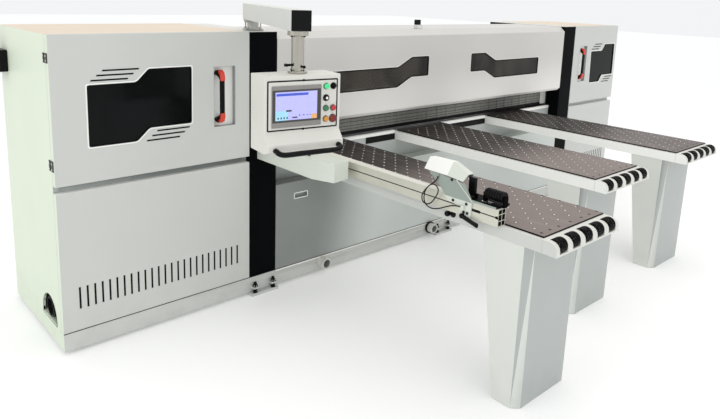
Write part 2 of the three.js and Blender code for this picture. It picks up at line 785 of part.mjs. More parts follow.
// The long beam that the saw carriage runs on; it reaches into both cabinets
function carriageRail() {
  const back = bed.back - bed.wall - seat;
  const barFront = rail.front - rail.bar;
  const lowBar = rail.bottom + rail.barInset;
  const highBar = rail.top - rail.barInset;
  const outline = [
    [rail.front, rail.bottom], [back, rail.bottom], [back, rail.top], [rail.front, rail.top],
    [rail.front, highBar], [barFront, highBar], [barFront, highBar - rail.barHeight],
    [rail.front, highBar - rail.barHeight], [rail.front, lowBar + rail.barHeight],
    [barFront, lowBar + rail.barHeight], [barFront, lowBar], [rail.front, lowBar],
  ];
  const from = leftEnd + cabinet.wall + rail.leftGap;
  const to = rightEnd - cabinet.wall - rail.rightGap;
  return node("carriage_rail", prism("x", outline, from, to), darkSteel);
}

function sawCarriage() {
  const c = carriage;
  const barFront = rail.front - rail.bar - seat;
  const shoeBack = rail.front - seat;
  const bars = [
    rail.bottom + rail.barInset,
    rail.top - rail.barInset - rail.barHeight,
  ];
  const outline = [[c.plateFront, c.bottom], [c.plateBack, c.bottom]];
  for (const z of bars) {
    outline.push([c.plateBack, z - seat - c.shoe], [shoeBack, z - seat - c.shoe]);
    outline.push([shoeBack, z - seat], [barFront, z - seat]);
    const over = z + rail.barHeight + seat;
    outline.push([barFront, over], [shoeBack, over]);
    outline.push([shoeBack, over + c.shoe], [c.plateBack, over + c.shoe]);
  }
  outline.push([c.plateBack, c.top], [c.plateFront, c.top]);
  const plate = prism("x", outline, c.home - c.half, c.home + c.half);
  const guides = [-1, 1].map((side) => {
    const x = c.home + side * c.guidePlace;
    return block(
      [x - c.guideHalf, x + c.guideHalf],
      [c.guideFront, c.plateFront + overrun],
      [c.bottom, c.top],
    );
  });
  return node("saw_carriage", union(plate, ...guides), darkSteel);
}

const motorFlangeShare = 1.12;
const motorTailShare = 0.09;

function motorBody(x, z, radius, front, shaftEnd, shaft) {
  const back = head.front - seat;
  const bodyLength = back - front;
  const flange = radius * motorFlangeShare;
  const body = bodyLength * (1 - motorTailShare);
  const profile = [
    [0, shaftEnd - front], [shaft, shaftEnd - front], [shaft, 0], [radius, 0],
    [radius, body], [flange, body], [flange, bodyLength], [0, bodyLength],
  ];
  const flipped = profile.map(([r, a]) => [r, -a]).reverse();
  return turned("y", [x, front, z], flipped);
}

function sawHead() {
  const x = carriage.home;
  const plate = block(
    [x - head.half, x + head.half],
    [head.front, head.back],
    [head.bottom, head.top],
  );
  const shoes = [];
  for (const side of [-1, 1]) {
    for (const flank of [-1, 1]) {
      const inner = x + side * carriage.guidePlace + flank * (carriage.guideHalf + seat);
      const span = [inner, inner + flank * head.shoe].sort((a, b) => a - b);
      shoes.push(block(
        span,
        [head.back - seat, carriage.plateFront - seat],
        [head.bottom, head.top - head.shoe],
      ));
    }
  }
  const motor = motorBody(
    x + scorer.place, scorer.height, scorer.motor, scorer.motorFront, scorer.shaftEnd,
    scorer.bore - seat,
  );
  const joined = union(plate, ...shoes, motor.translate([0, 2 * seat, 0]));
  return node("saw_head", joined, lightGrey);
}

function mainMotor() {
  const shape = motorBody(
    carriage.home + mainSaw.place, mainSaw.height, mainSaw.motor, mainSaw.motorFront,
    mainSaw.shaftEnd, mainSaw.bore - seat,
  );
  return node("main_motor", shape, steel);
}

const gulletShare = 0.35; // of a tooth's pitch

function sawBlade(name, saw) {
  const x = carriage.home + saw.place;
  const outline = [];
  for (let i = 0; i < saw.teeth; i += 1) {
    const angle = (2 * Math.PI * i) / saw.teeth;
    const gullet = (2 * Math.PI * (i + gulletShare)) / saw.teeth;
    outline.push([x + saw.radius * Math.cos(angle), saw.height + saw.radius * Math.sin(angle)]);
    const r = saw.radius - saw.tooth;
    outline.push([x + r * Math.cos(gullet), saw.height + r * Math.sin(gullet)]);
  }
  const line = bed.slotLine;
  const disc = prism("y", outline, line - saw.plateHalf, line + saw.plateHalf);
  const hub = rod("y", [x, line, saw.height], saw.hub, 2 * saw.hubHalf);
  const bore = rod("y", [x, line, saw.height], saw.bore, 4 * saw.hubHalf);
  return node(name, union(disc, hub).subtract(bore), steel);
}

// Each air table: frame with its leg and end cap, laminate top, and the end rollers
function tableSpan(place) {
  return [place.side - table.lip, place.side + table.top];
}

function tableRollerLine(place) {
  const front = place.outer - table.cap;
  return [front + roller.radius, workHeight - roller.radius];
}

const rollerCount = 5;

function rollerCentres(place) {
  const [x0, x1] = tableSpan(place);
  const edge = roller.width / 2 + (x1 - x0) * rollerEdgeShare;
  return Array.from({ length: rollerCount }, (_, i) =>
    x0 + edge + ((x1 - x0 - 2 * edge) * i) / (rollerCount - 1));
}

const rollerEdgeShare = 0.053;

function tableCap(place) {
  const [x0, x1] = tableSpan(place);
  const back = place.outer - table.capGap;
  const front = place.outer - table.cap;
  const [rollY, rollZ] = tableRollerLine(place);
  const r = table.capRound;
  const arc = new THREE.EllipseCurve(front + r, table.capTop - r, r, r, Math.PI / 2, Math.PI);
  const outline = [
    [back + overrun, table.frameBottom], [back + overrun, table.capTop],
    ...arc.getPoints(4).map((v) => [v.x, v.y]), [front, table.frameBottom],
  ];
  let cap = prism("x", outline, x0, x1);
  const axleSpan = x1 - x0 - 2 * table.capGap;
  const axleHole = rod(
    "x", [(x0 + x1) / 2, rollY, rollZ], roller.axle + seat, axleSpan + 2 * seat, 12);
  cap = cap.subtract(axleHole);
  for (const x of rollerCentres(place)) {
    const half = roller.width / 2 + roller.clearance;
    const well = rod("x", [x, rollY, rollZ], roller.radius + roller.clearance, 2 * half, 12);
    const mouth = block(
      [x - half, x + half],
      [front - overrun, front + roller.slotBack],
      [table.frameBottom + roller.lip, workHeight + overrun],
    );
    cap = cut(cap, well, mouth);
  }
  return cap;
}

function legOutline(place, z, end, shrink) {
  const [x0, x1] = tableSpan(place);
  const left = x0 + end.left + shrink;
  const right = x1 - end.right - shrink;
  const near = place.outer + end.front + shrink;
  const far = place.outer + end.front + end.depth - shrink;
  return [
    [left + end.chamferX, near, z], [right - end.chamferX, near, z],
    [right, near + end.chamferY, z],
    [right, far, z], [left, far, z], [left, near + end.chamferY, z],
  ];
}

function tableLeg(place) {
  const skin = (shrink, z0, z1) => loft([
    legOutline(place, z0, leg.bottom, shrink),
    legOutline(place, z1, leg.top, shrink),
  ], [0, 1]);
  const top = table.frameBottom + seat;
  return cut(skin(0, 0, top), skin(leg.sheet, -overrun, table.frameBottom - leg.sheet));
}

function tableFrame(name, place) {
  const [x0, x1] = tableSpan(place);
  const span = [place.outer - table.capGap, tableInner];
  const top = workHeight - table.plate - seat;
  const frame = cut(
    block([x0, x1], span, [table.frameBottom, top]),
    block(
      [x0 + table.wall, x1 - table.wall],
      [place.outer + leg.top.front + leg.top.depth + table.wall, tableInner - table.wall],
      [table.frameBottom - overrun, top - table.deck],
    ),
  );
  const joined = union(frame, tableCap(place), tableLeg(place));
  return node(`${name}_table_frame`, joined, whitePlastic);
}

function tableTopPlate(name, place) {
  const shape = block(
    [place.side, place.side + table.top],
    [place.outer, tableInner],
    [workHeight - table.plate, workHeight],
  );
  return node(`${name}_table_top`, shape, laminate);
}

function endRollers(name, place) {
  const [x0, x1] = tableSpan(place);
  const [rollY, rollZ] = tableRollerLine(place);
  const half = roller.width / 2;
  const profile = [[0, x0 + table.capGap], [roller.axle, x0 + table.capGap]];
  for (const x of rollerCentres(place)) {
    profile.push([roller.axle, x - half], [roller.radius, x - half]);
    profile.push([roller.radius, x + half], [roller.axle, x + half]);
  }
  profile.push([roller.axle, x1 - table.capGap], [0, x1 - table.capGap]);
  const shape = turned("x", [0, rollY, rollZ], profile, 12);
  return node(`${name}_end_rollers`, shape, rubberBlack);
}

// The side fence stands on the left ledge of the left table
const fenceRight = tablePlaces.left.side - seat;
const fenceLeft = fenceRight - fence.width;
const fenceBottom = workHeight - table.plate;
const fenceTop = fenceBottom + fence.height;

function fenceProfile() {
  const { web, width, height } = fence;
  const cells = [];
  const [first, second] = fenceRowShares.map((share) => share * height);
  const rows = [[web, first], [first + web, second], [second + web, height - web]];
  const cellWidth = (width - 3 * web) / 2;
  for (const [low, high] of rows) {
    for (const column of [0, 1]) {
      const left = fenceLeft + web + column * (cellWidth + web);
      cells.push(block(
        [left, left + cellWidth],
        [fence.front - overrun, tableInner + overrun],
        [fenceBottom + low, fenceBottom + high],
      ));
    }
  }
  const outer = [
    [fenceLeft, fenceBottom + seat], [fenceRight, fenceBottom + seat],
    [fenceRight, fenceTop], [fenceLeft, fenceTop],
  ];
  const grooveZ = fenceBottom + height * fence.grooveShare;
  const shape = cut(
    prism("y", outer, fence.front, tableInner),
    ...cells,
    block(
      [fenceLeft - overrun, fenceLeft + web / 2],
      [fence.front - overrun, tableInner + overrun],
      [grooveZ - fence.groove / 2, grooveZ + fence.groove / 2],
    ),
  );
  return node("fence_profile", shape, aluminium);
}

function fenceHousing() {
  const h = housing;
  const outline = [
    [h.left, portal.front - seat], [h.left, -h.side], [h.left + h.noseInset, -h.nose],
    [h.right, -h.noseRight], [h.right, portal.front - seat],
  ];
  const inner = [
    [h.left + h.skin, portal.front + overrun], [h.left + h.skin, -h.side + h.skin],
    [h.left + h.noseInset + h.skin, -h.nose + 2 * h.skin],
    [h.right - h.skin, -h.noseRight + 2 * h.skin], [h.right - h.skin, portal.front + overrun],
  ];
  const shape = cut(
    prism("z", outline, h.bottom, h.top),
    prism("z", inner, h.bottom + h.skin, h.top - h.skin),
  );
  return node("fence_housing", shape, paleGreen);
}

// The gusset's corners, as shares of its length and height
const gussetShares = [
  [0.238, 0], [0.014, 0.017], [0, 0.453], [0.178, 0.899], [0.413, 0.944], [0.748, 0.989],
  [1, 1], [0.657, 0.564], [0.531, 0.307], [0.287, 0.24],
];

function stopBracket() {
  const b = bracket;
  const outer = fenceLeft - seat - b.thickness;
  const inner = fenceLeft - seat;
  const gusset = gussetShares.map(([along, up]) =>
    [b.front + along * b.length, b.bottom + up * (b.top - b.bottom)]);
  const plate = prism("x", gusset, outer, inner);
  const deckBottom = fenceTop + seat;
  const deckTop = deckBottom + b.plateTop;
  const deck = block(
    [outer, fenceRight + b.reach],
    [b.plateFront, b.plateBack],
    [deckBottom, deckTop],
  );
  const cheeks = [
    [stopRoller.front - b.cheek, stopRoller.front - seat],
    [stopRoller.back + seat, stopRoller.back + b.cheek],
  ].map((span) => block(
    [stopRoller.line - b.cheekHalf, stopRoller.line + b.cheekHalf],
    span,
    [deckBottom, deckBottom + b.cheekTop],
  ));
  const nose = block(
    [stopRoller.line - b.cheekHalf, stopRoller.line + b.cheekHalf],
    [stopRoller.front - b.cheek, b.plateFront + overrun],
    [deckBottom, deckTop],
  );
  const axle = rod(
    "y",
    [stopRoller.line, (stopRoller.front + stopRoller.back) / 2, deckTop + stopRoller.lift],
    stopRoller.axle,
    stopRoller.back - stopRoller.front + b.cheek,
    10,
  );
  const flipAxle = rod(
    "y", [flip.centre, flip.place, deckTop + flip.lift], stopRoller.axle,
    2 * flip.half + 3 * b.cheek, 10);
  const flipEars = [-1, 1].map((side) => {
    const near = flip.place + side * (flip.half + seat);
    return block(
      [flip.centre - flip.thick / 2, flip.centre + flip.thick / 2],
      [near, near + side * b.cheek].sort((p, q) => p - q),
      [deckBottom, deckTop + flip.lift + stopRoller.axle],
    );
  });
  const backPad = block(
    [flip.centre - flip.thick, flip.centre + flip.thick],
    [b.plateBack - overrun, flip.place + flip.half + b.cheek],
    [deckBottom, deckTop],
  );
  const sockets = [
    [b.upperSocket, b.upperHeight, b.upperHalf],
    [b.lowerSocket, b.lowerHeight, b.lowerHalf],
  ].map(([y, z, half]) => block(
    [outer - b.socket, outer + seat], [y - half, y + half], [z - half, z + half]));
  const body = union(
    plate, deck, ...cheeks, nose, axle, flipAxle, ...flipEars, backPad, ...sockets);
  return node("stop_bracket", body, paleGreen);
}

// The hood is a folded sheet over the readout: rear, bend and front stations in y
function stopHood() {
  const outer = fenceLeft - seat - bracket.thickness;
  const station = (y, low, high) => {
    const [x0, x1] = [outer, outer + hood.width];
    const ridge = outer + hood.ridge;
    const t = hood.sheet;
    return [
      [x0, y, low], [ridge, y, high], [x1, y, high - t], [x1, y, low], [x1 - t, y, low],
      [x1 - t, y, high - 2 * t], [ridge + t / 2, y, high - 1.6 * t], [x0 + 1.4 * t, y, low],
    ];
  };
  const base_ = bracket.top;
  const shape = loft([
    station(hood.back, base_ + hood.backLift, base_ + hood.backRise),
    station(hood.bend, base_ + hood.bendLift, base_ + hood.bendRise),
    station(hood.front, base_ + hood.frontLift, base_ + hood.frontRise),
  ], [0, 2]);
  return node("stop_hood", shape, whitePlastic);
}

function flipStop() {
  const deckTop = fenceTop + seat + bracket.plateTop;
  const pin = [flip.centre, flip.place, deckTop + flip.lift];
  const bottom = deckTop + flip.lift - flip.thick / 2;
  const shape = block(
    [flip.centre - flip.thick / 2, flip.centre + flip.thick / 2],
    [flip.place - flip.half, flip.place + flip.half],
    [bottom, bottom + flip.height],
  ).subtract(rod("y", pin, stopRoller.axle + seat, 4 * flip.half, 12));
  return node("flip_stop", shape, nearBlack);
}

const drumGrooveShare = 0.88;
const drumRibShares = [0.5, 0.8]; // of the pitch, where a rib ends and its groove lies

function stopRollerDrum() {
  const deckTop = fenceTop + seat + bracket.plateTop;
  const { front, back, radius, axle } = stopRoller;
  const length = back - front;
  const pitch = length / stopRoller.ribs;
  const groove = radius * drumGrooveShare;
  const [crest, bottom] = drumRibShares.map((share) => share * pitch);
  const profile = [[axle + seat, 0]];
  for (let i = 0; i < stopRoller.ribs; i += 1) {
    const at = i * pitch;
    profile.push([radius, at], [radius, at + crest], [groove, at + bottom]);
  }
  profile.push([radius, length], [axle + seat, length], [axle + seat, 0]);
  const flipped = profile.map(([r, a]) => [r, -a]).reverse();
  const shape = turned("y", [stopRoller.line, front, deckTop + stopRoller.lift], flipped, 12);
  return node("stop_roller", shape, nearBlack);
}

function stopLever() {
  const outer = fenceLeft - seat - bracket.thickness - seat;
  const inner = outer - lever.thick;
  const hub = rod("x", [(outer + inner) / 2, lever.pivotY, lever.pivotZ], lever.hub, lever.thick);
  const tipY = lever.pivotY - lever.length;
  const tipZ = lever.pivotZ - lever.drop;
  const shaft = prism("x", [
    [lever.pivotY, lever.pivotZ - lever.hub], [lever.pivotY, lever.pivotZ + lever.hub],
    [tipY, tipZ + lever.tip], [tipY, tipZ - lever.tip],
  ], inner, outer);
  return node("stop_lever", union(hub, shaft), nearBlack);
}

// The readout cable, looped once between the hood and the bracket; radius and route
const cableRadius = 3.1;
const cableLine = -1647;
const cableRoute = [
  [cableLine, -1335, 1087.6], [cableLine, -1335, 1078], [-1651, -1322, 1056],
  [-1657, -1294, 1030], [-1662, -1268, 1000], [-1664, -1252, 968], [-1663, -1258, 938],
  [-1661, -1284, 930], [-1659, -1312, 944], [-1657, -1334, 974], [-1656, -1350, 1006],
  [-1657, -1346, 1032], [-1659, -1322, 1042], [-1664, -1296, 1030], [-1670, -1278, 1000],
  [-1673, -1274, 960], [-1671, -1288, 930], [-1666, -1322, 918], [-1660, -1362, 926],
  [-1654, -1404, 945], [-1649, -1440, 960], [cableLine, -1476, 967],
  [cableLine, -1493.6, 967],
];

function tube(points, radius, sides, steps, tension = 0.5) {
  const path = new THREE.CatmullRomCurve3(
    points.map((p) => new THREE.Vector3(...p)), false, "catmullrom", tension);
  const section = new THREE.Shape(Array.from({ length: sides }, (_, i) => new THREE.Vector2(
    radius * Math.cos((2 * Math.PI * i) / sides), radius * Math.sin((2 * Math.PI * i) / sides))));
  return solid(new THREE.ExtrudeGeometry(section, { steps, extrudePath: path }));
}

function stopCable() {
  return node("stop_cable", tube(cableRoute, cableRadius, 8, 78), rubberBlack);
}

// The console arm in its own frame: the pivot at the origin, forwards along -y
function consoleArm() {
  const half = arm.size / 2;
  const end = -arm.reach;
  const beam = cut(
    block([-half, half], [end, arm.tail], [arm.bottom, arm.bottom + arm.size]),
    block(
      [-half + arm.wall, half - arm.wall],
      [end + arm.wall, arm.tail + overrun],
      [arm.bottom + arm.wall, arm.bottom + arm.size - arm.wall],
    ),
  );
  const foot_ = portal.top + seat;
  const profile = [
    [0, foot_], [arm.flange, foot_], [arm.flange, foot_ + arm.flangeHeight],
    [arm.stem, foot_ + arm.flangeHeight], [arm.stem, arm.bottom + arm.wall / 2],
    [0, arm.bottom + arm.wall / 2],
  ];
  return node("console_arm", union(beam, turned("z", [0, 0, 0], profile)), whitePlastic);
}

// The console in its own frame: the post's axis at the origin, its face towards -y
function consolePost() {
  const low = box.top + seat;
  const high = arm.bottom - seat;
  const profile = [
    [0, low], [post.flange, low], [post.flange, low + post.flangeHeight],
    [post.radius, low + post.flangeHeight], [post.radius, high - post.collarHeight],
    [post.collar, high - post.collarHeight], [post.collar, high], [0, high],
  ];
  return node("console_post", turned("z", [0, 0, 0], profile), steel);
}

function boxSection(skin) {
  const b = box;
  return [
    [b.back - skin, b.bottom + skin], [b.back - skin, b.top - skin],
    [-b.front + skin, b.top - skin], [-b.front + skin, b.kink],
    [-b.chin + skin, b.chinTop], [-b.chin + skin, b.chinBottom + skin],
    [-b.front, b.bottom + skin],
  ];
}

function consoleBox() {
  const shape = cut(
    prism("x", boxSection(0), box.left, box.right),
    prism("x", boxSection(box.skin), box.left + box.skin, box.right - box.skin),
    block(
      [face.left, face.right],
      [-box.front - overrun, -box.front + box.skin + overrun],
      [face.bottom, face.top],
    ),
  );
  return node("console_box", shape, paleGreen);
}

function buttonPlaces() {
  const { inner, outer } = buttonColumns;
  const { top, second, third, low } = buttonRows;
  return {
    start_button: { x: inner, z: top, head: button.head, material: greenPlastic },
    selector_knob: { x: outer, z: top, head: button.head, material: nearBlack },
    reset_button: { x: inner, z: second, head: button.head, material: whitePlastic },
    green_button: { x: inner, z: third, head: button.head, material: greenPlastic },
    red_button: { x: outer, z: third, head: button.head, material: redPlastic },
    amber_button: { x: inner, z: low, head: button.head, material: amberPlastic },
    emergency_stop: { x: outer, z: low, head: button.mushroom, material: redPlastic },
  };
}

const faceFront = -box.front - face.proud;

function consolePanel() {
  const plate = block(
    [face.left + face.seal, face.right - face.seal],
    [faceFront, faceFront + face.thickness],
    [face.bottom + face.seal, face.top - face.seal],
  );
  const inside = -box.front + box.skin + seat;
  const flange = block(
    [face.left - face.flange, face.right + face.flange],
    [inside, faceFront + face.thickness],
    [face.bottom - face.flange, face.top + face.flange],
  );
  const holes = Object.values(buttonPlaces()).map(({ x, z }) =>
    rod("y", [x, faceFront, z], button.hole, 4 * face.thickness, 12));
  return node("console_panel", cut(union(plate, flange), ...holes), whitePlastic);
}

function touchScreen() {
  const shape = block(
    [screen.left, screen.right],
    [faceFront - screen.proud, faceFront - seat],
    [screen.bottom, screen.top],
  );
  return node("touch_screen", shape, steel);
}

function pushButton(name, { x, z, head: radius, material }) {
  const gap = name === "selector_knob" ? seat : button.travel + seat;
  const profile = [
    [0, -button.inside], [button.stem, -button.inside], [button.stem, gap],
    [radius, gap], [radius, gap + button.height], [0, gap + button.height],
  ];
  let shape = turned("y", [x, faceFront, z], profile, 12);
  if (name === "selector_knob") {
    const [low, high] = [gap + button.height - seat, gap + 2 * button.height];
    shape = shape.add(block(
      [x - button.stem / 3, x + button.stem / 3],
      [faceFront - high, faceFront - low],
      [z - radius, z + radius],
    ));
  }
  return node(name, shape, material);
}

const gripBendShare = 0.75;
const gripLeanShare = 0.12;

function consoleHandle() {
  const root = -box.chin - seat;
  const out = root - grip.reach;
  const bend = grip.reach * gripBendShare;
  const lean = bend * gripLeanShare;
  const points = [
    [grip.left, root, grip.top], [grip.left, root - grip.radius, grip.top],
    [grip.left + lean, root - bend, (grip.top + grip.bottom) / 2],
    [grip.left + bend, out, grip.bottom], [0, out, grip.bottom],
    [grip.right - bend, out, grip.bottom],
    [grip.right - lean, root - bend, (grip.top + grip.bottom) / 2],
    [grip.right, root - grip.radius, grip.top], [grip.right, root, grip.top],
  ];
  return node("console_handle", tube(points, grip.radius, 8, 22), nearBlack);
}

// Rear feed table: side beams and lanes on cross beams with legs, welded together
function rearTable() {
  const start = bed.back + seat;
  const crossTop = feed.top - feed.beamHeight;
  const crossLow = crossTop - feed.crossHeight;
  const pieces = [];
  for (const side of [-1, 1]) {
    const span = [side * feed.beamSpan, side * (feed.beamSpan - feed.beam)].sort((a, b) => a - b);
    pieces.push(block(span, [start, rearEnd], [crossTop, feed.top]));
    for (const y of feed.legPlaces) {
      const legSpan = [side * feed.beamSpan, side * (feed.beamSpan - feed.legWidth)];
      pieces.push(block(
        legSpan.sort((a, b) => a - b), [y, y + feed.legWidth], [0, crossLow + seat]));
    }
  }
  for (const y of [start, ...feed.legPlaces, (feed.legPlaces[0] + feed.legPlaces[1]) / 2]) {
    pieces.push(block(
      [-feed.beamSpan, feed.beamSpan], [y, y + feed.cross], [crossLow, crossTop + seat]));
  }
  const inner = feed.beamSpan - feed.beam / 2;
  const pitch = (2 * inner) / (feed.lanes + 1);
  for (let i = 1; i <= feed.lanes; i += 1) {
    const x = -inner + i * pitch;
    const lane = [x - feed.lane / 2, x + feed.lane / 2];
    pieces.push(block(lane, [start, rearEnd], [crossTop, feed.top]));
  }
  return node("rear_table", union(...pieces), lightGrey);
}

function gripperPlaces() {
  const inner = feed.beamSpan - feed.beam / 2;
  const pitch = (2 * inner) / (feed.lanes + 1);
  return Array.from({ length: feed.lanes + 1 }, (_, i) => -inner + (i + 1) * pitch - pitch / 2);
}

function pusherGantry() {
  const g = gantry;
  const y0 = g.place;
  const beam = block([-feed.beamSpan, feed.beamSpan], [y0, y0 + g.depth], [g.bottom, g.top]);
  const bore = block(
    [-feed.beamSpan - overrun, feed.beamSpan + overrun],
    [y0 + g.wall, y0 + g.depth - g.wall],
    [g.bottom + g.wall, g.top - g.wall],
  );
  const pieces = [beam];
  for (const side of [-1, 1]) {
    const span = [side * feed.beamSpan, side * (feed.beamSpan - feed.beam)].sort((a, b) => a - b);
    pieces.push(block(
      span,
      [y0 - (g.shoe - g.depth) / 2, y0 + (g.shoe + g.depth) / 2],
      [feed.top + seat, feed.top + seat + g.shoeHeight],
    ));
    pieces.push(block(
      span, [y0, y0 + g.depth], [feed.top + g.shoeHeight / 2, g.bottom + g.shoeHeight / 2]));
  }
  const low = workHeight + 2 * seat;
  for (const x of gripperPlaces()) {
    const wide = [x - g.armWidth / 2, x + g.armWidth / 2];
    pieces.push(block(wide, [y0 - g.armReach, y0 + overrun], [low, low + g.jawHeight / 2]));
    pieces.push(block(wide, [y0 - g.barDepth / 2, y0 + g.depth / 2], [low, g.bottom + overrun]));
  }
  return node("pusher_gantry", union(...pieces).subtract(bore), lightGrey);
}

// The upper jaws of all the grippers, on one clamping bar in front of the gantry beam
function gripperJaws() {
  const g = gantry;
  const front = g.place - g.barDepth / 2 - seat;
  const low = workHeight + 2 * seat + (g.jawHeight + g.mouth) / 2;
  const top = g.top - g.jaw;
  const pieces = [block(
    [-feed.beamSpan + feed.beam, feed.beamSpan - feed.beam],
    [front - g.barDepth, front],
    [top - g.barDepth, top],
  )];
  for (const x of gripperPlaces()) {
    const wide = [x - g.armWidth / 2, x + g.armWidth / 2];
    pieces.push(block(wide, [front - g.barDepth, front], [low, top - g.barDepth / 2]));
    pieces.push(block(
      wide, [g.place - g.armReach, front - g.barDepth / 2], [low, low + g.jawHeight]));
  }
  return node("gripper_jaws", union(...pieces), darkSteel);
}

// The whole machine, with its origin under the middle of its outer box
const degrees = Math.PI / 180;
const machine = new THREE.Group();
const boxMiddleX = (leftEnd - isolator.depth - seat - isolator.lever + rightEnd) / 2;
const boxMiddleY = (tablePlaces.left.outer - table.cap + rearEnd) / 2;
machine.position.set(-boxMiddleX, -boxMiddleY, 0);

machine.add(baseFrame(), portalFrame());
for (const side of [-1, 1]) {
  machine.add(cabinetShell(side), lowerPanel(side), doorLeaf(side), doorGlass(side));
  machine.add(doorPull(side));
}
machine.add(isolatorBox(), isolatorLever(), dustHose());
machine.add(sawBed(), frontPanel(), beamCover(), coverWindows(), safetyCurtain());
machine.add(pressureBeam(), carriageRail(), sawCarriage(), sawHead(), mainMotor());
machine.add(sawBlade("main_blade", mainSaw), sawBlade("scoring_blade", scorer));
for (const [name, place] of Object.entries(tablePlaces)) {
  machine.add(tableFrame(name, place), tableTopPlate(name, place), endRollers(name, place));
}
machine.add(fenceHousing(), fenceProfile(), stopBracket(), stopHood(), flipStop());
machine.add(stopRollerDrum(), stopLever(), stopCable());
machine.add(rearTable(), pusherGantry(), gripperJaws());

const armGroup = new THREE.Group();
armGroup.position.set(arm.pivotX, arm.pivotY, 0);
armGroup.rotation.z = armSwing * degrees;
armGroup.add(consoleArm());
const consoleGroup = new THREE.Group();
consoleGroup.position.set(0, post.back - arm.reach, 0);
consoleGroup.rotation.z = consoleSwing * degrees;
consoleGroup.add(consolePost(), consoleBox(), consolePanel(), touchScreen(), consoleHandle());
for (const [name, place] of Object.entries(buttonPlaces())) {
  consoleGroup.add(pushButton(name, place));
}
armGroup.add(consoleGroup);
machine.add(armGroup);

const panelSaw = new THREE.Group();
panelSaw.add(machine);

export default panelSaw;
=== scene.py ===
"""Dresses a panel saw: painted sheet, tinted windows, air tables, a side fence and a console."""
import json
import logging
import math
from collections.abc import Callable, Sequence
from dataclasses import dataclass
from enum import Enum

import bmesh
import bpy
from mathutils import Matrix, Vector

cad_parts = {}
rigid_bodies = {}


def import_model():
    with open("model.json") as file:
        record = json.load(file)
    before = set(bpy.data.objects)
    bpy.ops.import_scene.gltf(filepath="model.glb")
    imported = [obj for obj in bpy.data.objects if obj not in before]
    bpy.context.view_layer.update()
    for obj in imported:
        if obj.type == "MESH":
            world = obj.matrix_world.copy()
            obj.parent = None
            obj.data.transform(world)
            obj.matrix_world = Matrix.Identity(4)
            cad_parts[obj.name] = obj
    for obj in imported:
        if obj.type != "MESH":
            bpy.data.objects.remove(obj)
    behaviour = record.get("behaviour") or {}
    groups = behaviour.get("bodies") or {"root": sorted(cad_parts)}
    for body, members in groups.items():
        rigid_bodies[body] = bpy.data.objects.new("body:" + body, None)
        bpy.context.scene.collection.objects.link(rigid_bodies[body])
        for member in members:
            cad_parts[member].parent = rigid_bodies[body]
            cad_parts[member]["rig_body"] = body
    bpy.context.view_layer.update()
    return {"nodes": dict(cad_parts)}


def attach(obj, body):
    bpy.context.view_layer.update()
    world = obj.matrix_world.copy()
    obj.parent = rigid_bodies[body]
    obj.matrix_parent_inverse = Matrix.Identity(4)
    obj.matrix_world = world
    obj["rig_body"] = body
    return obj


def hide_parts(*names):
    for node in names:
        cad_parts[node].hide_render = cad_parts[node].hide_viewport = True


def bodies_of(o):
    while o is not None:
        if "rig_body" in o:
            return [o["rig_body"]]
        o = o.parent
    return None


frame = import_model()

log = logging.getLogger("panel_saw")

Point = tuple[float, float, float]
Span = tuple[float, float]
Outline = Sequence[Span]
Rule = Callable[[Vector, Vector], bool]

MM = 0.001
MERGE = 1e-4
SHARP_ANGLE = 36.0
MACHINE = Matrix.Translation((0.19215, -1.1, 0.0)) @ Matrix.Diagonal((MM, MM, MM, 1.0))
ARM = MACHINE @ Matrix.Translation((-1781, 155, 0)) @ Matrix.Rotation(math.radians(-21.5), 4, "Z")
CONSOLE = ARM @ Matrix.Translation((0, -1098, 0)) @ Matrix.Rotation(math.radians(12.2), 4, "Z")


class Axis(Enum):
    """Direction that a turned or extruded shape runs along."""

    X = "x"
    Y = "y"
    Z = "z"

    def lay(self, across: float, up: float, along: float) -> Vector:
        """Point in the space of the machine.

        Args:
            across: place across this axis.
            up: place up from it.
            along: place along it.

        Returns:
            The point.
        """
        if self is Axis.X:
            return Vector((along, across, up))
        if self is Axis.Y:
            return Vector((across, along, up))
        return Vector((across, up, along))


class Side(Enum):
    """End of the machine, seen by the operator."""

    LEFT = -1
    RIGHT = 1

    @property
    def word(self) -> str:
        """Name of this side as the nodes have it."""
        return self.name.lower()


Rod = tuple[Axis, Point, float, float, float, int]


def linear(code: int) -> Point:
    """Linear colour of a screen colour written as a hexadecimal number."""
    parts = [((code >> shift) & 255) / 255 for shift in (16, 8, 0)]
    return tuple(v / 12.92 if v <= 0.04045 else ((v + 0.055) / 1.055) ** 2.4 for v in parts)


class Signal:
    """A shader socket that is added, subtracted and multiplied like a number."""

    def __init__(self, recipe: "Recipe", socket: bpy.types.NodeSocket) -> None:
        """Wraps an output socket of the recipe's nodes."""
        self.recipe = recipe
        self.socket = socket

    def _math(self, operation: str, first: "Signal | float", second: "Signal | float") -> "Signal":
        """Math node on two values."""
        node = self.recipe.add("ShaderNodeMath", {"operation": operation}, {0: first, 1: second})
        return Signal(self.recipe, node.outputs[0])

    def __add__(self, other: "Signal | float") -> "Signal":
        """Sum."""
        return self._math("ADD", self, other)

    def __sub__(self, other: "Signal | float") -> "Signal":
        """Difference."""
        return self._math("SUBTRACT", self, other)

    def __rsub__(self, other: float) -> "Signal":
        """Difference with a number in front."""
        return self._math("SUBTRACT", other, self)

    def __mul__(self, other: "Signal | float") -> "Signal":
        """Product."""
        return self._math("MULTIPLY", self, other)

    __radd__ = __add__
    __rmul__ = __mul__

    def over(self, low: float, high: float) -> "Signal":
        """Soft step from 0 at low to 1 at high."""
        node = self.recipe.add("ShaderNodeMapRange", {"interpolation_type": "SMOOTHSTEP"},
                               {"Value": self, "From Min": low, "From Max": high})
        return Signal(self.recipe, node.outputs[0])


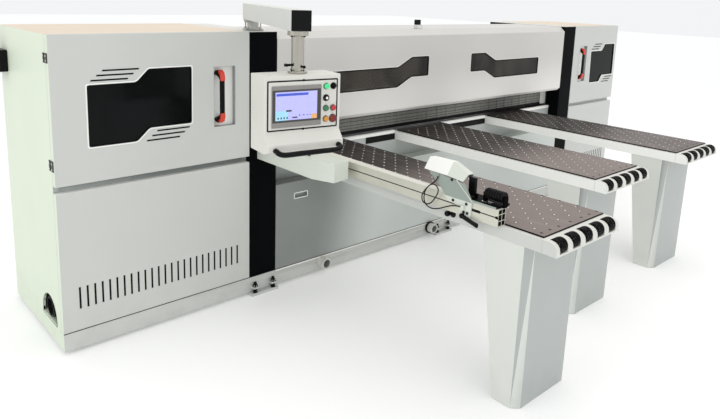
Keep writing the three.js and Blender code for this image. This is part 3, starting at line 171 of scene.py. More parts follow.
class Recipe:
    """The nodes of one material, built up round a Principled shader."""

    def __init__(self, name: str) -> None:
        """Starts an empty material with its shader and output.

        Args:
            name: the material's name.
        """
        self.material = bpy.data.materials.new(name)
        self.material.use_nodes = True
        self.tree = self.material.node_tree
        self.tree.nodes.clear()
        self.shader = self.add("ShaderNodeBsdfPrincipled", {}, {})
        self.add("ShaderNodeOutputMaterial", {}, {"Surface": self.shader.outputs[0]})

    def put(self, socket: bpy.types.NodeSocket, value: object) -> None:
        """Links a signal or socket to an input, or sets the input's own value.

        Args:
            socket: the input.
            value: signal, output socket, number, vector or colour.
        """
        if isinstance(value, Signal):
            value = value.socket
        if isinstance(value, bpy.types.NodeSocket):
            self.tree.links.new(value, socket)
        elif isinstance(value, tuple) and len(value) == 3 and len(socket.default_value) == 4:
            socket.default_value = (*value, 1.0)
        else:
            socket.default_value = value

    def feed(self, name: str, value: object) -> None:
        """Gives a value or a link to one of the shader's inputs."""
        self.put(self.shader.inputs[name], value)

    def add(self, kind: str, settings: dict, sockets: dict) -> bpy.types.Node:
        """Makes one node.

        Args:
            kind: Blender's name of the node's type.
            settings: properties, set before the sockets.
            sockets: values or links by socket name or number.

        Returns:
            The new node.
        """
        node = self.tree.nodes.new(kind)
        for name, value in settings.items():
            setattr(node, name, value)
        for name, value in sockets.items():
            self.put(node.inputs[name], value)
        return node

    def place(self, stretch: Point = (1.0, 1.0, 1.0)) -> bpy.types.NodeSocket:
        """Object coordinates, stretched by the given factors."""
        whole = self.add("ShaderNodeTexCoord", {}, {}).outputs["Object"]
        return self.add("ShaderNodeMapping", {}, {"Vector": whole, "Scale": stretch}).outputs[0]

    def noise(self, scale: float, detail: float = 3.0,
              stretch: Point = (1.0, 1.0, 1.0)) -> Signal:
        """Noise from 0 to 1 with the given number of grains to the metre."""
        node = self.add("ShaderNodeTexNoise", {}, {
            "Vector": self.place(stretch), "Scale": scale, "Detail": detail})
        return Signal(self, node.outputs[0])

    def height(self, way: str = "Z") -> Signal:
        """Height over the floor in metres, or the place along another way."""
        node = self.add("ShaderNodeSeparateXYZ", {}, {"Vector": self.place()})
        return Signal(self, node.outputs[way])

    def tint(self, first: Point, second: Point, factor: Signal) -> bpy.types.NodeSocket:
        """Colour that runs from the first to the second with the factor."""
        node = self.add("ShaderNodeMix", {"data_type": "RGBA"}, {0: factor, 6: first, 7: second})
        return node.outputs[2]

    def bump(self, height: Signal, strength: float, depth: float) -> None:
        """Feeds a height to the shader's normal."""
        self.feed("Normal", self.add("ShaderNodeBump", {}, {
            "Height": height, "Strength": strength, "Distance": depth}).outputs[0])


@dataclass(frozen=True)
class Finish:
    """A surface finish and the material slot that it belongs to."""

    name: str
    slot: str
    colour: int
    roughness: float = 0.5
    metallic: float = 0.0
    specular: float = 0.5

    def material(self) -> bpy.types.Material:
        """Makes the finish's material, or finds the one that was made before.

        Returns:
            The material.
        """
        found = bpy.data.materials.get(self.name)
        if found is None:
            recipe = Recipe(self.name)
            recipe.feed("Base Color", linear(self.colour))
            recipe.feed("Roughness", self.roughness)
            recipe.feed("Metallic", self.metallic)
            recipe.feed("Specular IOR Level", self.specular)
            self.detail(recipe)
            found = recipe.material
        return found

    def tones(self, recipe: Recipe, dark: float, light: float,
              factor: Signal) -> bpy.types.NodeSocket:
        """Colour between two shares of the finish's own.

        Args:
            recipe: the material in the making.
            dark: share of the colour where the factor is 0.
            light: share of the colour where it is 1.
            factor: what the colour follows.

        Returns:
            The colour.
        """
        first, second = (tuple(min(1.0, v * share) for v in linear(self.colour))
                         for share in (dark, light))
        return recipe.tint(first, second, factor)

    def detail(self, recipe: Recipe) -> None:
        """Adds a faint unevenness of colour and gloss.

        Args:
            recipe: the material in the making.
        """
        cloud = recipe.noise(14.0)
        recipe.feed("Base Color", self.tones(recipe, 0.94, 1.05, cloud))
        recipe.feed("Roughness", cloud * 0.12 + (self.roughness - 0.06))


@dataclass(frozen=True)
class PowderCoat(Finish):
    """Baked paint: a fine orange peel, soft clouds and a little dust near the floor."""

    peel: float = 420.0

    def smear(self, recipe: Recipe, spread: float = 0.16) -> Signal:
        """Roughness that varies round the finish's own, in marks that run up and down."""
        return recipe.noise(6.0, 4.0, (1.0, 1.0, 0.35)) * spread + (self.roughness - spread / 2)

    def detail(self, recipe: Recipe) -> None:
        """Adds clouds, dust low down, uneven gloss and the peel.

        Args:
            recipe: the material in the making.
        """
        cloud = recipe.noise(1.7, 4.0)
        dust = recipe.height().over(0.32, 0.0) * recipe.noise(9.0, 5.0).over(0.35, 0.75)
        factor = (cloud * 0.55 + 0.2) - dust * 0.45
        recipe.feed("Base Color", self.tones(recipe, 0.9, 1.06, factor))
        recipe.feed("Roughness", self.smear(recipe))
        recipe.bump(recipe.noise(self.peel, 2.0), 0.12, 0.0004)


@dataclass(frozen=True)
class HoodCoat(PowderCoat):
    """Paint of the long hood, with painted light that makes its lower half lighter."""

    def detail(self, recipe: Recipe) -> None:
        """Adds painted light that makes the lower part of the sheet lighter, clouds and uneven
        gloss.

        Args:
            recipe: the material in the making.
        """
        # Painted light: the sheet is made lighter below 1.5 m.
        light = recipe.height().over(1.5, 1.1) * 0.75 + recipe.noise(1.7, 4.0) * 0.25
        recipe.feed("Base Color", self.tones(recipe, 0.93, 1.34, light))
        recipe.feed("Roughness", self.smear(recipe))


@dataclass(frozen=True)
class Enamel(PowderCoat):
    """Glossy paint on the long front sheet, with a painted reflection that darkens it towards the
    left column.
    """

    def detail(self, recipe: Recipe) -> None:
        """Adds clouds, the painted reflection that darkens the left part, and a soft gloss.

        Args:
            recipe: the material in the making.
        """
        # Painted reflection: darker towards the left column, lighter to the right, along a
        # slanting line.
        along = recipe.height("X") - recipe.height() * 0.2
        light = along.over(-1.25, -0.62) * 0.85 + recipe.noise(2.2, 3.0) * 0.15
        recipe.feed("Base Color", self.tones(recipe, 0.5, 1.42, light))
        recipe.feed("Roughness", self.smear(recipe, 0.08))


@dataclass(frozen=True)
class Laminate(Finish):
    """Pressed laminate board with a fine fleck and long scuffs of sliding boards."""

    def detail(self, recipe: Recipe) -> None:
        """Adds flecks, scuffs along the table, the paler part towards the operator, which is wear
        and painted sheen, and a faint grain.

        Args:
            recipe: the material in the making.
        """
        fleck = recipe.noise(520.0, 2.0).over(0.38, 0.66)
        scuff = recipe.noise(26.0, 5.0, (1.0, 0.07, 1.0)).over(0.5, 0.8)
        # Paler towards the operator: partly wear, partly a painted sheen; less of it on the right
        # table.
        wear_and_sheen = recipe.height("Y").over(-1.68, -2.33)
        wear_and_sheen_by_table = recipe.height("X").over(1.2, 0.2) * 0.45 + 0.55
        cloud = recipe.noise(5.0, 4.0) * 0.16 + 0.92
        recipe.feed("Base Color", self.tones(
            recipe, 0.26, 3.8, wear_and_sheen * wear_and_sheen_by_table * cloud * 0.76 + fleck * 0.1 + scuff * 0.06))
        recipe.feed("Roughness", (self.roughness + 0.08) - scuff * 0.2)
        recipe.bump(recipe.noise(900.0, 2.0), 0.15, 0.0002)


@dataclass(frozen=True)
class Rubber(Finish):
    """Black rubber or textured plastic with a fine grain and greyish dust."""

    grain: float = 650.0

    def detail(self, recipe: Recipe) -> None:
        """Adds dust and grain.

        Args:
            recipe: the material in the making.
        """
        dust = recipe.noise(40.0, 5.0).over(0.45, 0.8)
        recipe.feed("Base Color", self.tones(recipe, 0.85, 1.7, dust * 0.6))
        recipe.feed("Roughness", dust * 0.15 + self.roughness)
        recipe.bump(recipe.noise(self.grain, 2.0), 0.2, 0.0003)


@dataclass(frozen=True)
class Tyre(Rubber):
    """Deep black rubber with small light flecks here and there that are painted glints."""

    # Colour of the painted glints.
    fleck: Point = (0.22, 0.22, 0.21)

    def detail(self, recipe: Recipe) -> None:
        """Adds the flecks, which are painted glints, and the grain.

        Args:
            recipe: the material in the making.
        """
        # Painted glints: small light flecks in the colour stand in for glints of light on the
        # rubber.
        fleck = recipe.noise(self.grain, 3.0).over(0.62, 0.7)
        ground = tuple(v * 0.7 for v in linear(self.colour))
        recipe.feed("Base Color", recipe.tint(ground, self.fleck, fleck))
        recipe.feed("Roughness", fleck * -0.2 + self.roughness)
        recipe.bump(recipe.noise(self.grain, 2.0), 0.2, 0.0003)


@dataclass(frozen=True)
class Metal(Finish):
    """Drawn, ground or plated metal, with fine lines along one way."""

    metallic: float = 1.0
    stretch: Point = (1.0, 0.02, 1.0)
    lines: float = 420.0

    def detail(self, recipe: Recipe) -> None:
        """Adds drawn lines and stains.

        Args:
            recipe: the material in the making.
        """
        line = recipe.noise(self.lines, 3.0, self.stretch)
        stain = recipe.noise(22.0, 4.0)
        recipe.feed("Base Color", self.tones(recipe, 0.84, 1.05, line * 0.5 + stain * 0.5))
        recipe.feed("Roughness", line * 0.16 + stain * 0.1 + (self.roughness - 0.12))
        recipe.bump(line, 0.1, 0.0002)


@dataclass(frozen=True)
class TintedPane(Finish):
    """Smoke tinted acrylic that lets a little through."""

    cover: float = 0.9

    def detail(self, recipe: Recipe) -> None:
        """Adds wiped smears to the gloss and lets the inside show faintly.

        Args:
            recipe: the material in the making.
        """
        smear = recipe.noise(8.0, 4.0, (1.0, 1.0, 0.5))
        cloud = recipe.noise(4.5, 4.0, (1.0, 1.0, 0.4)).over(0.3, 0.7)
        recipe.feed("Base Color", self.tones(recipe, 0.3, 1.5, cloud))
        recipe.feed("Roughness", smear.over(0.3, 0.9) * 0.12 + self.roughness)
        recipe.feed("Alpha", smear * 0.06 + (self.cover - 0.03))


@dataclass(frozen=True)
class ClearStrip(Finish):
    """Soft clear strip, milky with dust and scratches that run down it."""

    cover: float = 0.62

    def detail(self, recipe: Recipe) -> None:
        """Adds dusty streaks that make the strip less clear.

        Args:
            recipe: the material in the making.
        """
        streak = recipe.noise(90.0, 4.0, (1.0, 1.0, 0.12))
        recipe.feed("Base Color", self.tones(recipe, 0.8, 1.05, streak))
        recipe.feed("Roughness", streak * 0.3 + self.roughness)
        recipe.feed("Alpha", streak * 0.35 + (self.cover - 0.17))


@dataclass(frozen=True)
class LitLens(Finish):
    """Moulded coloured cap with a lamp behind it."""

    glow: float = 0.0

    def detail(self, recipe: Recipe) -> None:
        """Adds a faint swirl and the lamp's light.

        Args:
            recipe: the material in the making.
        """
        lit = self.tones(recipe, 0.8, 1.15, recipe.noise(160.0, 2.0))
        recipe.feed("Base Color", lit)
        recipe.feed("Emission Color", lit)
        recipe.feed("Emission Strength", self.glow)


class Paint:
    """The finishes of this machine."""

    BODY = PowderCoat("body_paint", "light_grey_paint", 0xCCCECA, 0.4)
    # Pale greenish side paint, lighter than the front paint as painted light on faces turned to
    # the side.
    PALE = PowderCoat("pale_side_paint", "pale_paint", 0xD6DFCD, 0.45)
    WARM = PowderCoat("warm_white_paint", "pale_paint", 0xDDDCD5, 0.4)
    HOUSING = PowderCoat("housing_paint", "pale_paint", 0xD8DDD3, 0.42)
    LIP = PowderCoat("white_lip_paint", "pale_paint", 0xF7F7F3, 0.4)
    # Warm paint for faces turned up: painted light, a painted reflection of the warm ceiling.
    TOP = PowderCoat("top_sheet_paint", "pale_paint", 0xE4D2BC, 0.45)
    # Darker grey: painted shade on faces in gaps and under the tables, and the colour of seams.
    GREY = PowderCoat("grey_sheet_paint", "light_grey_paint", 0xB2B7B4, 0.3)
    FRONT = Enamel("front_sheet_enamel", "light_grey_paint", 0xB2B7B4, 0.2)
    COVER = HoodCoat("cover_paint", "light_grey_paint", 0xCFCDC9, 0.4)
    # Darker grey: painted shade in recesses, bores, facets turned away from the light and the
    # strip under the cover.
    RECESS = PowderCoat("recess_paint", "light_grey_paint", 0x9DA1A0, 0.45)
    GUSSET = PowderCoat("gusset_paint", "light_grey_paint", 0x97A29A, 0.4)
    # Leg paint in two copies: darker for the front as painted shade, lighter for the sides as
    # painted light.
    LEG = PowderCoat("leg_paint", "pale_paint", 0xB0B5B3, 0.36)
    LEG_SIDE = PowderCoat("leg_side_paint", "pale_paint", 0xDADDD7, 0.36)
    BLACK = PowderCoat("column_paint", "black_paint", 0x060709, 0.45, specular=0.03)
    TABLE = Laminate("table_board", "table_laminate", 0x4E4744, 0.36, specular=0.14)
    EDGE = Rubber("edge_band", "black_rubber", 0x0B0A0A, 0.5, specular=0.15)
    RUBBER = Rubber("black_rubber_grain", "black_rubber", 0x0E0E10, 0.5, specular=0.25)
    TYRE = Tyre("roller_tyre", "black_rubber", 0x050506, 0.45, specular=0.04, grain=260.0)
    PLASTIC = Rubber("black_plastic_grain", "black_plastic", 0x0A0A0C, 0.3, specular=0.14,
                     grain=900.0)
    SOCKET = Finish("white_plastic_part", "white_plastic", 0xF4F2EE, 0.35)
    RED = Finish("red_plastic_part", "red_plastic", 0xD8402F, 0.35)
    WINDOW = TintedPane("door_pane", "tinted_window", 0x050708, 0.1, specular=0.12, cover=0.985)
    VISOR = TintedPane("cover_pane", "tinted_window", 0x3A3631, 0.08, specular=0.18, cover=0.85)
    STRIP = ClearStrip("curtain_strip", "strip_pvc", 0x95958F, 0.35, cover=0.72)
    ALLOY = Metal("drawn_alloy", "anodised", 0xD7D6C9, 0.46, metallic=0.55)
    # Lighter alloy for faces turned up: painted light.
    RAIL_TOP = Metal("rail_top_alloy", "anodised", 0xF2F0E6, 0.42, metallic=0.35)
    HINGE = Metal("hinge_plate", "dark_steel", 0x3B3D36, 0.42, metallic=0.5, lines=160.0)
    STEEL = Metal("ground_steel", "steel", 0xA9ABAC, 0.34, stretch=(1.0, 1.0, 0.03))
    DARK = Metal("dark_steel_part", "dark_steel", 0x202225, 0.45, metallic=0.6, lines=120.0)
    CHROME = Metal("plated_part", "chrome", 0xDFDFDB, 0.2, lines=60.0)
    POST = Metal("post_tube_plating", "chrome", 0xB3B0A6, 0.18, stretch=(1.0, 1.0, 0.02),
                 lines=90.0)
    BEZEL = Finish("screen_frame_grey", "dark_steel", 0x8B8884, 0.4)
    GRAPHITE = Finish("screen_border_dark", "black_plastic", 0x3C3B3C, 0.35)
    PICTURE = LitLens("screen_ground", "white_plastic", 0xB3B3EE, 0.3, glow=0.3)
    TITLE = LitLens("screen_title", "white_plastic", 0x3F56C4, 0.3, glow=0.25)
    CYAN = LitLens("screen_corner", "white_plastic", 0x9ACDE6, 0.3, glow=0.3)
    ORANGE = LitLens("screen_key", "amber_plastic", 0xDFA56E, 0.3, glow=0.25)
    GREEN_LIT = LitLens("lit_green_cap", "green_plastic", 0x3FCB83, 0.25, glow=0.35)
    GREEN = LitLens("green_cap", "green_plastic", 0x2E7A55, 0.25)
    RED_CAP = LitLens("red_cap", "red_plastic", 0xC03038, 0.25)
    DARK_RED = LitLens("dark_red_cap", "red_plastic", 0x7E1C1C, 0.3)
    AMBER = LitLens("amber_cap", "amber_plastic", 0xD9952E, 0.25)


def body_of(node: str) -> str:
    """Body that a solid of the model rides on."""
    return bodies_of(frame["nodes"][node])[0]


def rectangle(x: Span, z: Span) -> list[Span]:
    """Corners of an upright rectangle."""
    return [(x[0], z[0]), (x[1], z[0]), (x[1], z[1]), (x[0], z[1])]


def grown(outline: Outline, distance: float) -> list[Span]:
    """Outline moved outwards by a distance.

    Args:
        outline: corners of a closed outline, either way round.
        distance: how far each side moves out.

    Returns:
        The corners of the larger outline.
    """
    corners = [Vector(p) for p in outline]
    area = sum(a.cross(b) for a, b in zip(corners, corners[1:] + corners[:1]))
    sign = 1.0 if area > 0 else -1.0
    result = []
    for i, here in enumerate(corners):
        before = (here - corners[i - 1]).normalized()
        after = (corners[(i + 1) % len(corners)] - here).normalized()
        first, second = (Vector((way.y, -way.x)) * sign for way in (before, after))
        middle = (first + second) / (1.0 + first.dot(second))
        result.append(tuple(here + middle * distance))
    return result


def soften(part: bmesh.types.BMesh, width: float, steps: int = 2, sharp: float = 30.0) -> None:
    """Rounds the sharp edges that have room for it.

    Args:
        part: mesh that is changed.
        width: how far the rounding reaches from each edge.
        steps: faces across the rounding.
        sharp: least angle in degrees of an edge that is rounded.
    """
    tight = {v for e in part.edges if e.calc_length() < 2.3 * width for v in e.verts}
    edges = [
        e for e in part.edges
        if e.is_manifold and e.calc_face_angle(0.0) > math.radians(sharp)
        and not tight.intersection(e.verts)
    ]
    if edges:
        bmesh.ops.bevel(
            part, geom=edges, offset=width, offset_type="OFFSET", segments=steps,
            profile=0.5, affect="EDGES", clamp_overlap=True, material=-1)


def smooth_curve(name: str, points: Sequence[Vector], radius: float, rings: int,
                 steps: int) -> bpy.types.Curve:
    """Makes a round bar that runs smoothly through the points, as one open spline.

    Args:
        name: the curve's name.
        points: what it runs through.
        radius: half its thickness.
        rings: fineness of its round section.
        steps: fineness between two points.

    Returns:
        The curve.
    """
    curve = bpy.data.curves.new(name, "CURVE")
    curve.dimensions = "3D"
    curve.bevel_depth = radius
    curve.bevel_resolution = rings
    curve.use_fill_caps = True
    spline = curve.splines.new("BEZIER")
    spline.bezier_points.add(len(points) - 1)
    spline.resolution_u = steps
    for i, point in enumerate(points):
        before = points[i - 1] if i else point * 2 - points[1]
        after = points[i + 1] if i + 1 < len(points) else point * 2 - points[-2]
        knot = spline.bezier_points[i]
        knot.handle_left_type = knot.handle_right_type = "FREE"
        knot.co = point
        knot.handle_left = point - (after - before) / 6
        knot.handle_right = point + (after - before) / 6
    return curve


class Shape:
    """A piece in the making, in millimetres, in one of the machine's frames."""

    def __init__(self, place: Matrix = MACHINE) -> None:
        """Starts an empty piece in the given frame.

        Args:
            place: the frame that its sizes count in.
        """
        self.place = place
        self.whole = bmesh.new()
        self.index = 0

    def use(self, index: int) -> "Shape":
        """Parts that follow take the finish with this number."""
        self.index = index
        return self

    def join(self, part: bmesh.types.BMesh) -> "Shape":
        """Adds a finished part.

        Args:
            part: mesh of the part, which is freed.

        Returns:
            This shape, as every method that adds something does.
        """
        for face in part.faces:
            face.material_index = self.index
        scratch = bpy.data.meshes.new("scratch")
        part.to_mesh(scratch)
        part.free()
        self.whole.from_mesh(scratch)
        bpy.data.meshes.remove(scratch)
        return self

    def paint(self, index: int, rule: Rule) -> "Shape":
        """Gives a finish to the faces that fit a rule.

        Args:
            index: number of the finish.
            rule: test of a face's normal and of its middle.

        Returns:
            This shape.
        """
        self.whole.normal_update()
        for face in self.whole.faces:
            if rule(face.normal, face.calc_center_median()):
                face.material_index = index
        return self

    def block(self, x: Span, y: Span, z: Span, edge: float = 0.0, steps: int = 2,
              turn: Matrix | None = None) -> "Shape":
        """Adds a block, with rounded edges if wanted.

        Args:
            x: its two ends in x, in either order.
            y: its two ends in y.
            z: its two ends in z.
            edge: width of the rounding.
            steps: faces across the rounding.
            turn: turn about the block's middle.

        Returns:
            This shape.
        """
        spans = (x, y, z)
        middle = Matrix.Translation([(a + b) / 2 for a, b in spans])
        size = Matrix.Diagonal([abs(b - a) for a, b in spans] + [1.0])
        part = bmesh.new()
        bmesh.ops.create_cube(part, size=1.0, matrix=size)
        if edge > 0:
            soften(part, edge, steps)
        part.transform(middle @ (turn or Matrix.Identity(4)))
        return self.join(part)

    def lathe(self, axis: Axis, centre: Point, profile: Sequence[Span], sides: int = 32,
              ring: bool = False) -> "Shape":
        """Adds a turned part.

        Args:
            axis: axis that it is turned about.
            centre: point on the axis that the profile counts from.
            profile: pairs of place along the axis and radius.
            sides: faces round the axis.
            ring: whether the profile closes on itself, off the axis.

        Returns:
            This shape.
        """
        part = bmesh.new()
        verts = [part.verts.new(axis.lay(radius, 0.0, along)) for along, radius in profile]
        pairs = list(zip(verts, verts[1:])) + ([(verts[-1], verts[0])] if ring else [])
        edges = [part.edges.new(pair) for pair in pairs]
        bmesh.ops.spin(
            part, geom=verts + edges, cent=(0, 0, 0), axis=axis.lay(0.0, 0.0, 1.0),
            angle=math.tau, steps=sides, use_merge=True)
        bmesh.ops.remove_doubles(part, verts=part.verts, dist=MERGE)
        bmesh.ops.recalc_face_normals(part, faces=part.faces)
        bmesh.ops.translate(part, verts=part.verts, vec=centre)
        return self.join(part)

    def rod(self, axis: Axis, centre: Point, radius: float, length: float,
            edge: float = 0.0, sides: int = 28) -> "Shape":
        """Adds a round bar with softened rims.

        Args:
            axis: axis that it runs along.
            centre: its middle.
            radius: its radius.
            length: its length.
            edge: width of the softened rims.
            sides: faces round the axis.

        Returns:
            This shape.
        """
        half = length / 2
        rim = min(edge, radius * 0.9, half * 0.9)
        profile = [(-half, 0.0), (-half, radius - rim)]
        if rim > 0:
            profile += [(-half + rim * 0.3, radius - rim * 0.3), (-half + rim, radius)]
            profile += [(half - rim, radius), (half - rim * 0.3, radius - rim * 0.3)]
        else:
            profile += [(half, radius)]
        profile += [(half, radius - rim), (half, 0.0)]
        return self.lathe(axis, centre, profile, sides)

    def plate(self, axis: Axis, outline: Outline, low: float, high: float,
              corner: float = 0.0, edge: float = 0.0, rim: float = 0.0) -> "Shape":
        """Adds a flat plate, or a frame round an opening.

        Args:
            axis: axis that it is extruded along.
            outline: corners across and up.
            low: where it starts along the axis.
            high: where it ends along the axis.
            corner: radius of its corners.
            edge: width of its rounded edges.
            rim: width of the frame, or 0 for a full plate.

        Returns:
            This shape.
        """
        part = bmesh.new()
        face = part.faces.new([part.verts.new(axis.lay(a, b, low)) for a, b in outline])
        if corner > 0:
            bmesh.ops.bevel(
                part, geom=list(part.verts), offset=corner * 0.55, offset_type="OFFSET",
                segments=5, profile=0.5, affect="VERTICES", clamp_overlap=True, material=-1)
            part.faces.ensure_lookup_table()
            face = part.faces[0]
        if rim > 0:
            bmesh.ops.inset_region(
                part, faces=[face], thickness=rim, use_even_offset=True, use_boundary=True)
            bmesh.ops.delete(part, geom=[face], context="FACES_ONLY")
        made = bmesh.ops.extrude_face_region(part, geom=list(part.faces))
        moved = [v for v in made["geom"] if isinstance(v, bmesh.types.BMVert)]
        bmesh.ops.translate(part, verts=moved, vec=axis.lay(0.0, 0.0, high - low))
        bmesh.ops.recalc_face_normals(part, faces=part.faces)
        if edge > 0:
            soften(part, edge)
        return self.join(part)

    def tube(self, points: Sequence[Point], radius: float) -> "Shape":
        """Adds a round bar along a smooth path.

        Args:
            points: what it runs through.
            radius: half its thickness.

        Returns:
            This shape.
        """
        curve = smooth_curve("path", [Vector(p) for p in points], radius, 6, 6)
        holder = bpy.data.objects.new("path", curve)
        part = bmesh.new()
        part.from_mesh(holder.to_mesh())
        holder.to_mesh_clear()
        bpy.data.objects.remove(holder)
        bpy.data.curves.remove(curve)
        bmesh.ops.remove_doubles(part, verts=part.verts, dist=MERGE)
        bmesh.ops.recalc_face_normals(part, faces=part.faces)
        return self.join(part)

    def copy(self, node: str, edge: float = 1.5, steps: int = 2) -> "Shape":
        """Adds a merged copy of one of the model's solids, with softened edges.

        Args:
            node: the solid's name.
            edge: width of the rounding.
            steps: faces across the rounding.

        Returns:
            This shape.
        """
        part = bmesh.new()
        part.from_mesh(frame["nodes"][node].data)
        part.transform(self.place.inverted())
        bmesh.ops.remove_doubles(part, verts=part.verts, dist=0.01)
        bmesh.ops.dissolve_limit(
            part, angle_limit=math.radians(0.6), verts=part.verts, edges=part.edges)
        if edge > 0:
            soften(part, edge, steps)
        return self.join(part)

    def make(self, name: str, finishes: Finish | Sequence[Finish], body: str = "machine",
             stands_for: Sequence[str] = ()) -> None:
        """Turns the shape into a piece of the machine.

        Args:
            name: the piece's name.
            finishes: its finish, or one for each number used.
            body: the body that it rides on.
            stands_for: solids of the model that it replaces.
        """
        looks = [finishes] if isinstance(finishes, Finish) else list(finishes)
        self.whole.transform(self.place)
        for face in self.whole.faces:
            face.smooth = True
        mesh = bpy.data.meshes.new(name)
        self.whole.to_mesh(mesh)
        self.whole.free()
        mesh.set_sharp_from_angle(angle=math.radians(SHARP_ANGLE))
        for look in looks:
            mesh.materials.append(look.material())
        piece = bpy.data.objects.new(name, mesh)
        bpy.context.scene.collection.objects.link(piece)
        piece.modifiers.new("even_light", "WEIGHTED_NORMAL").keep_sharp = True
        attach(piece, body)
        if stands_for:
            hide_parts(*stands_for)
        log.info("%s on %s, %d faces", name, body, len(mesh.polygons))


def skin(node: str, finishes: Finish | Sequence[Finish], edge: float = 1.5, steps: int = 2,
         rules: Sequence[Rule] = (), name: str = "") -> None:
    """Dresses one of the model's solids, with softened edges.

    Args:
        node: the solid's name.
        finishes: its finish, or the main one and then one for each rule.
        edge: width of the rounding.
        steps: faces across the rounding.
        rules: tests of a face's normal and middle, of which the last that fits holds.
        name: the piece's name, if it isn't the solid's with "_skin".
    """
    shape = Shape().copy(node, edge, steps)
    for index, rule in enumerate(rules, 1):
        shape.paint(index, rule)
    shape.make(name or f"{node}_skin", finishes, body_of(node), [node])


@dataclass(frozen=True)
class Lamp:
    """A large soft light that faces a point."""

    name: str
    place: Point
    target: Point
    size: float
    power: float
    colour: Point

    def hang(self) -> None:
        """Adds the light to the scene."""
        light = bpy.data.lights.new(self.name, "AREA")
        light.shape, light.size = "SQUARE", self.size
        light.energy, light.color = self.power, self.colour
        holder = bpy.data.objects.new(self.name, light)
        way = Vector(self.target) - Vector(self.place)
        aim = way.to_track_quat("-Z", "Y").to_matrix().to_4x4()
        holder.matrix_world = Matrix.Translation(self.place) @ aim
        bpy.context.scene.collection.objects.link(holder)


@dataclass
class Studio:
    """Camera at the photograph's viewpoint, soft lights and a pale floor."""

    eye: Point = (-4047.9, -3376.7, 1973.4)
    yaw: float = -42.32
    pitch: float = -10.93
    roll: float = 1.94
    lens: float = 32.2
    shift: float = -0.127
    far: float = 200.0
    floor_half: float = 40.0
    floor_drop: float = 0.0005
    sky: tuple[float, ...] = (0.98, 0.99, 1.0, 1.0)
    sky_strength: float = 0.92
    lamps: Sequence[Lamp] = (
        Lamp("overhead", (0.5, -1.5, 6.0), (0.0, 0.0, 0.0), 7.0, 90.0, (1.0, 0.95, 0.88)),
        Lamp("left_side", (-8.5, -0.5, 3.5), (-2.5, 0.0, 0.8), 4.0, 70.0, (0.97, 1.0, 0.93)),
        Lamp("front", (-1.0, -8.0, 3.5), (0.0, -1.0, 0.8), 5.0, 15.0, (1.0, 1.0, 1.0)),
    )

    def set_camera(self) -> None:
        """Places the camera and makes it the scene's."""
        yaw, pitch, roll = (math.radians(v) for v in (self.yaw, self.pitch, self.roll))
        forward = Vector((-math.sin(yaw) * math.cos(pitch), math.cos(yaw) * math.cos(pitch),
                          math.sin(pitch)))
        level = Vector((math.cos(yaw), math.sin(yaw), 0.0))
        rise = level.cross(forward)
        right = level * math.cos(roll) + rise * math.sin(roll)
        up = rise * math.cos(roll) - level * math.sin(roll)
        lens = bpy.data.cameras.new("photo_view")
        lens.lens, lens.sensor_width, lens.shift_y = self.lens, 36.0, self.shift
        lens.clip_end = self.far
        camera = bpy.data.objects.new("photo_view", lens)
        turn = Matrix((right, up, -forward)).transposed().to_4x4()
        camera.matrix_world = Matrix.Translation(MACHINE @ Vector(self.eye)) @ turn
        bpy.context.scene.collection.objects.link(camera)
        bpy.context.scene.camera = camera

    def light(self) -> None:
        """Lights the hall: a bright sky, a broad lamp overhead and two from the sides."""
        bpy.context.scene.view_settings.view_transform = "Standard"
        world = bpy.data.worlds.new("hall")
        bpy.context.scene.world = world
        world.use_nodes = True
        sky = world.node_tree.nodes["Background"]
        sky.inputs["Color"].default_value = self.sky
        sky.inputs["Strength"].default_value = self.sky_strength
        for lamp in self.lamps:
            lamp.hang()

    def lay_floor(self) -> None:
        """Lays the pale floor."""
        part = bmesh.new()
        bmesh.ops.create_grid(part, x_segments=1, y_segments=1, size=self.floor_half)
        bmesh.ops.translate(part, verts=part.verts, vec=(0.0, 0.0, -self.floor_drop))
        mesh = bpy.data.meshes.new("floor")
        part.to_mesh(mesh)
        part.free()
        mesh.materials.append(LitLens("floor_paint", "", 0xFDFDFC, 0.75, glow=0.2).material())
        floor = bpy.data.objects.new("floor", mesh)
        bpy.context.scene.collection.objects.link(floor)

    def build(self) -> None:
        """Sets up the whole studio."""
        self.set_camera()
        self.light()
        self.lay_floor()


@dataclass
class StopCable:
    """The readout's loose cable, looped between the hood and the stop's plate."""

    diameter: float = 6.2
    length: float = 0.728
    route: Sequence[Point] = (
        (-1647, -1335, 1087.6), (-1647, -1335, 1078), (-1651, -1322, 1056), (-1657, -1294, 1030),
        (-1662, -1268, 1000), (-1664, -1252, 968), (-1663, -1258, 938), (-1661, -1284, 930),
        (-1659, -1312, 944), (-1657, -1334, 974), (-1656, -1350, 1006), (-1657, -1346, 1032),
        (-1659, -1322, 1042), (-1664, -1296, 1030), (-1670, -1278, 1000), (-1673, -1274, 960),
        (-1671, -1288, 930), (-1666, -1322, 918), (-1660, -1362, 926), (-1654, -1404, 945),
        (-1649, -1440, 960), (-1647, -1476, 967), (-1647, -1493.6, 967),
    )

    def build(self) -> None:
        """Lays the cable as one curve."""
        points = [MACHINE @ Vector(p) for p in self.route]
        curve = smooth_curve("readout_cable", points, self.diameter / 2 * MM, 3, 10)
        curve.materials.append(Paint.RUBBER.material())
        cable = bpy.data.objects.new("readout_cable", curve)
        bpy.context.scene.collection.objects.link(cable)
        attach(cable, body_of("stop_cable"))
        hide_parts("stop_cable")
        log.info("readout_cable on %s, %d points", body_of("stop_cable"), len(points))


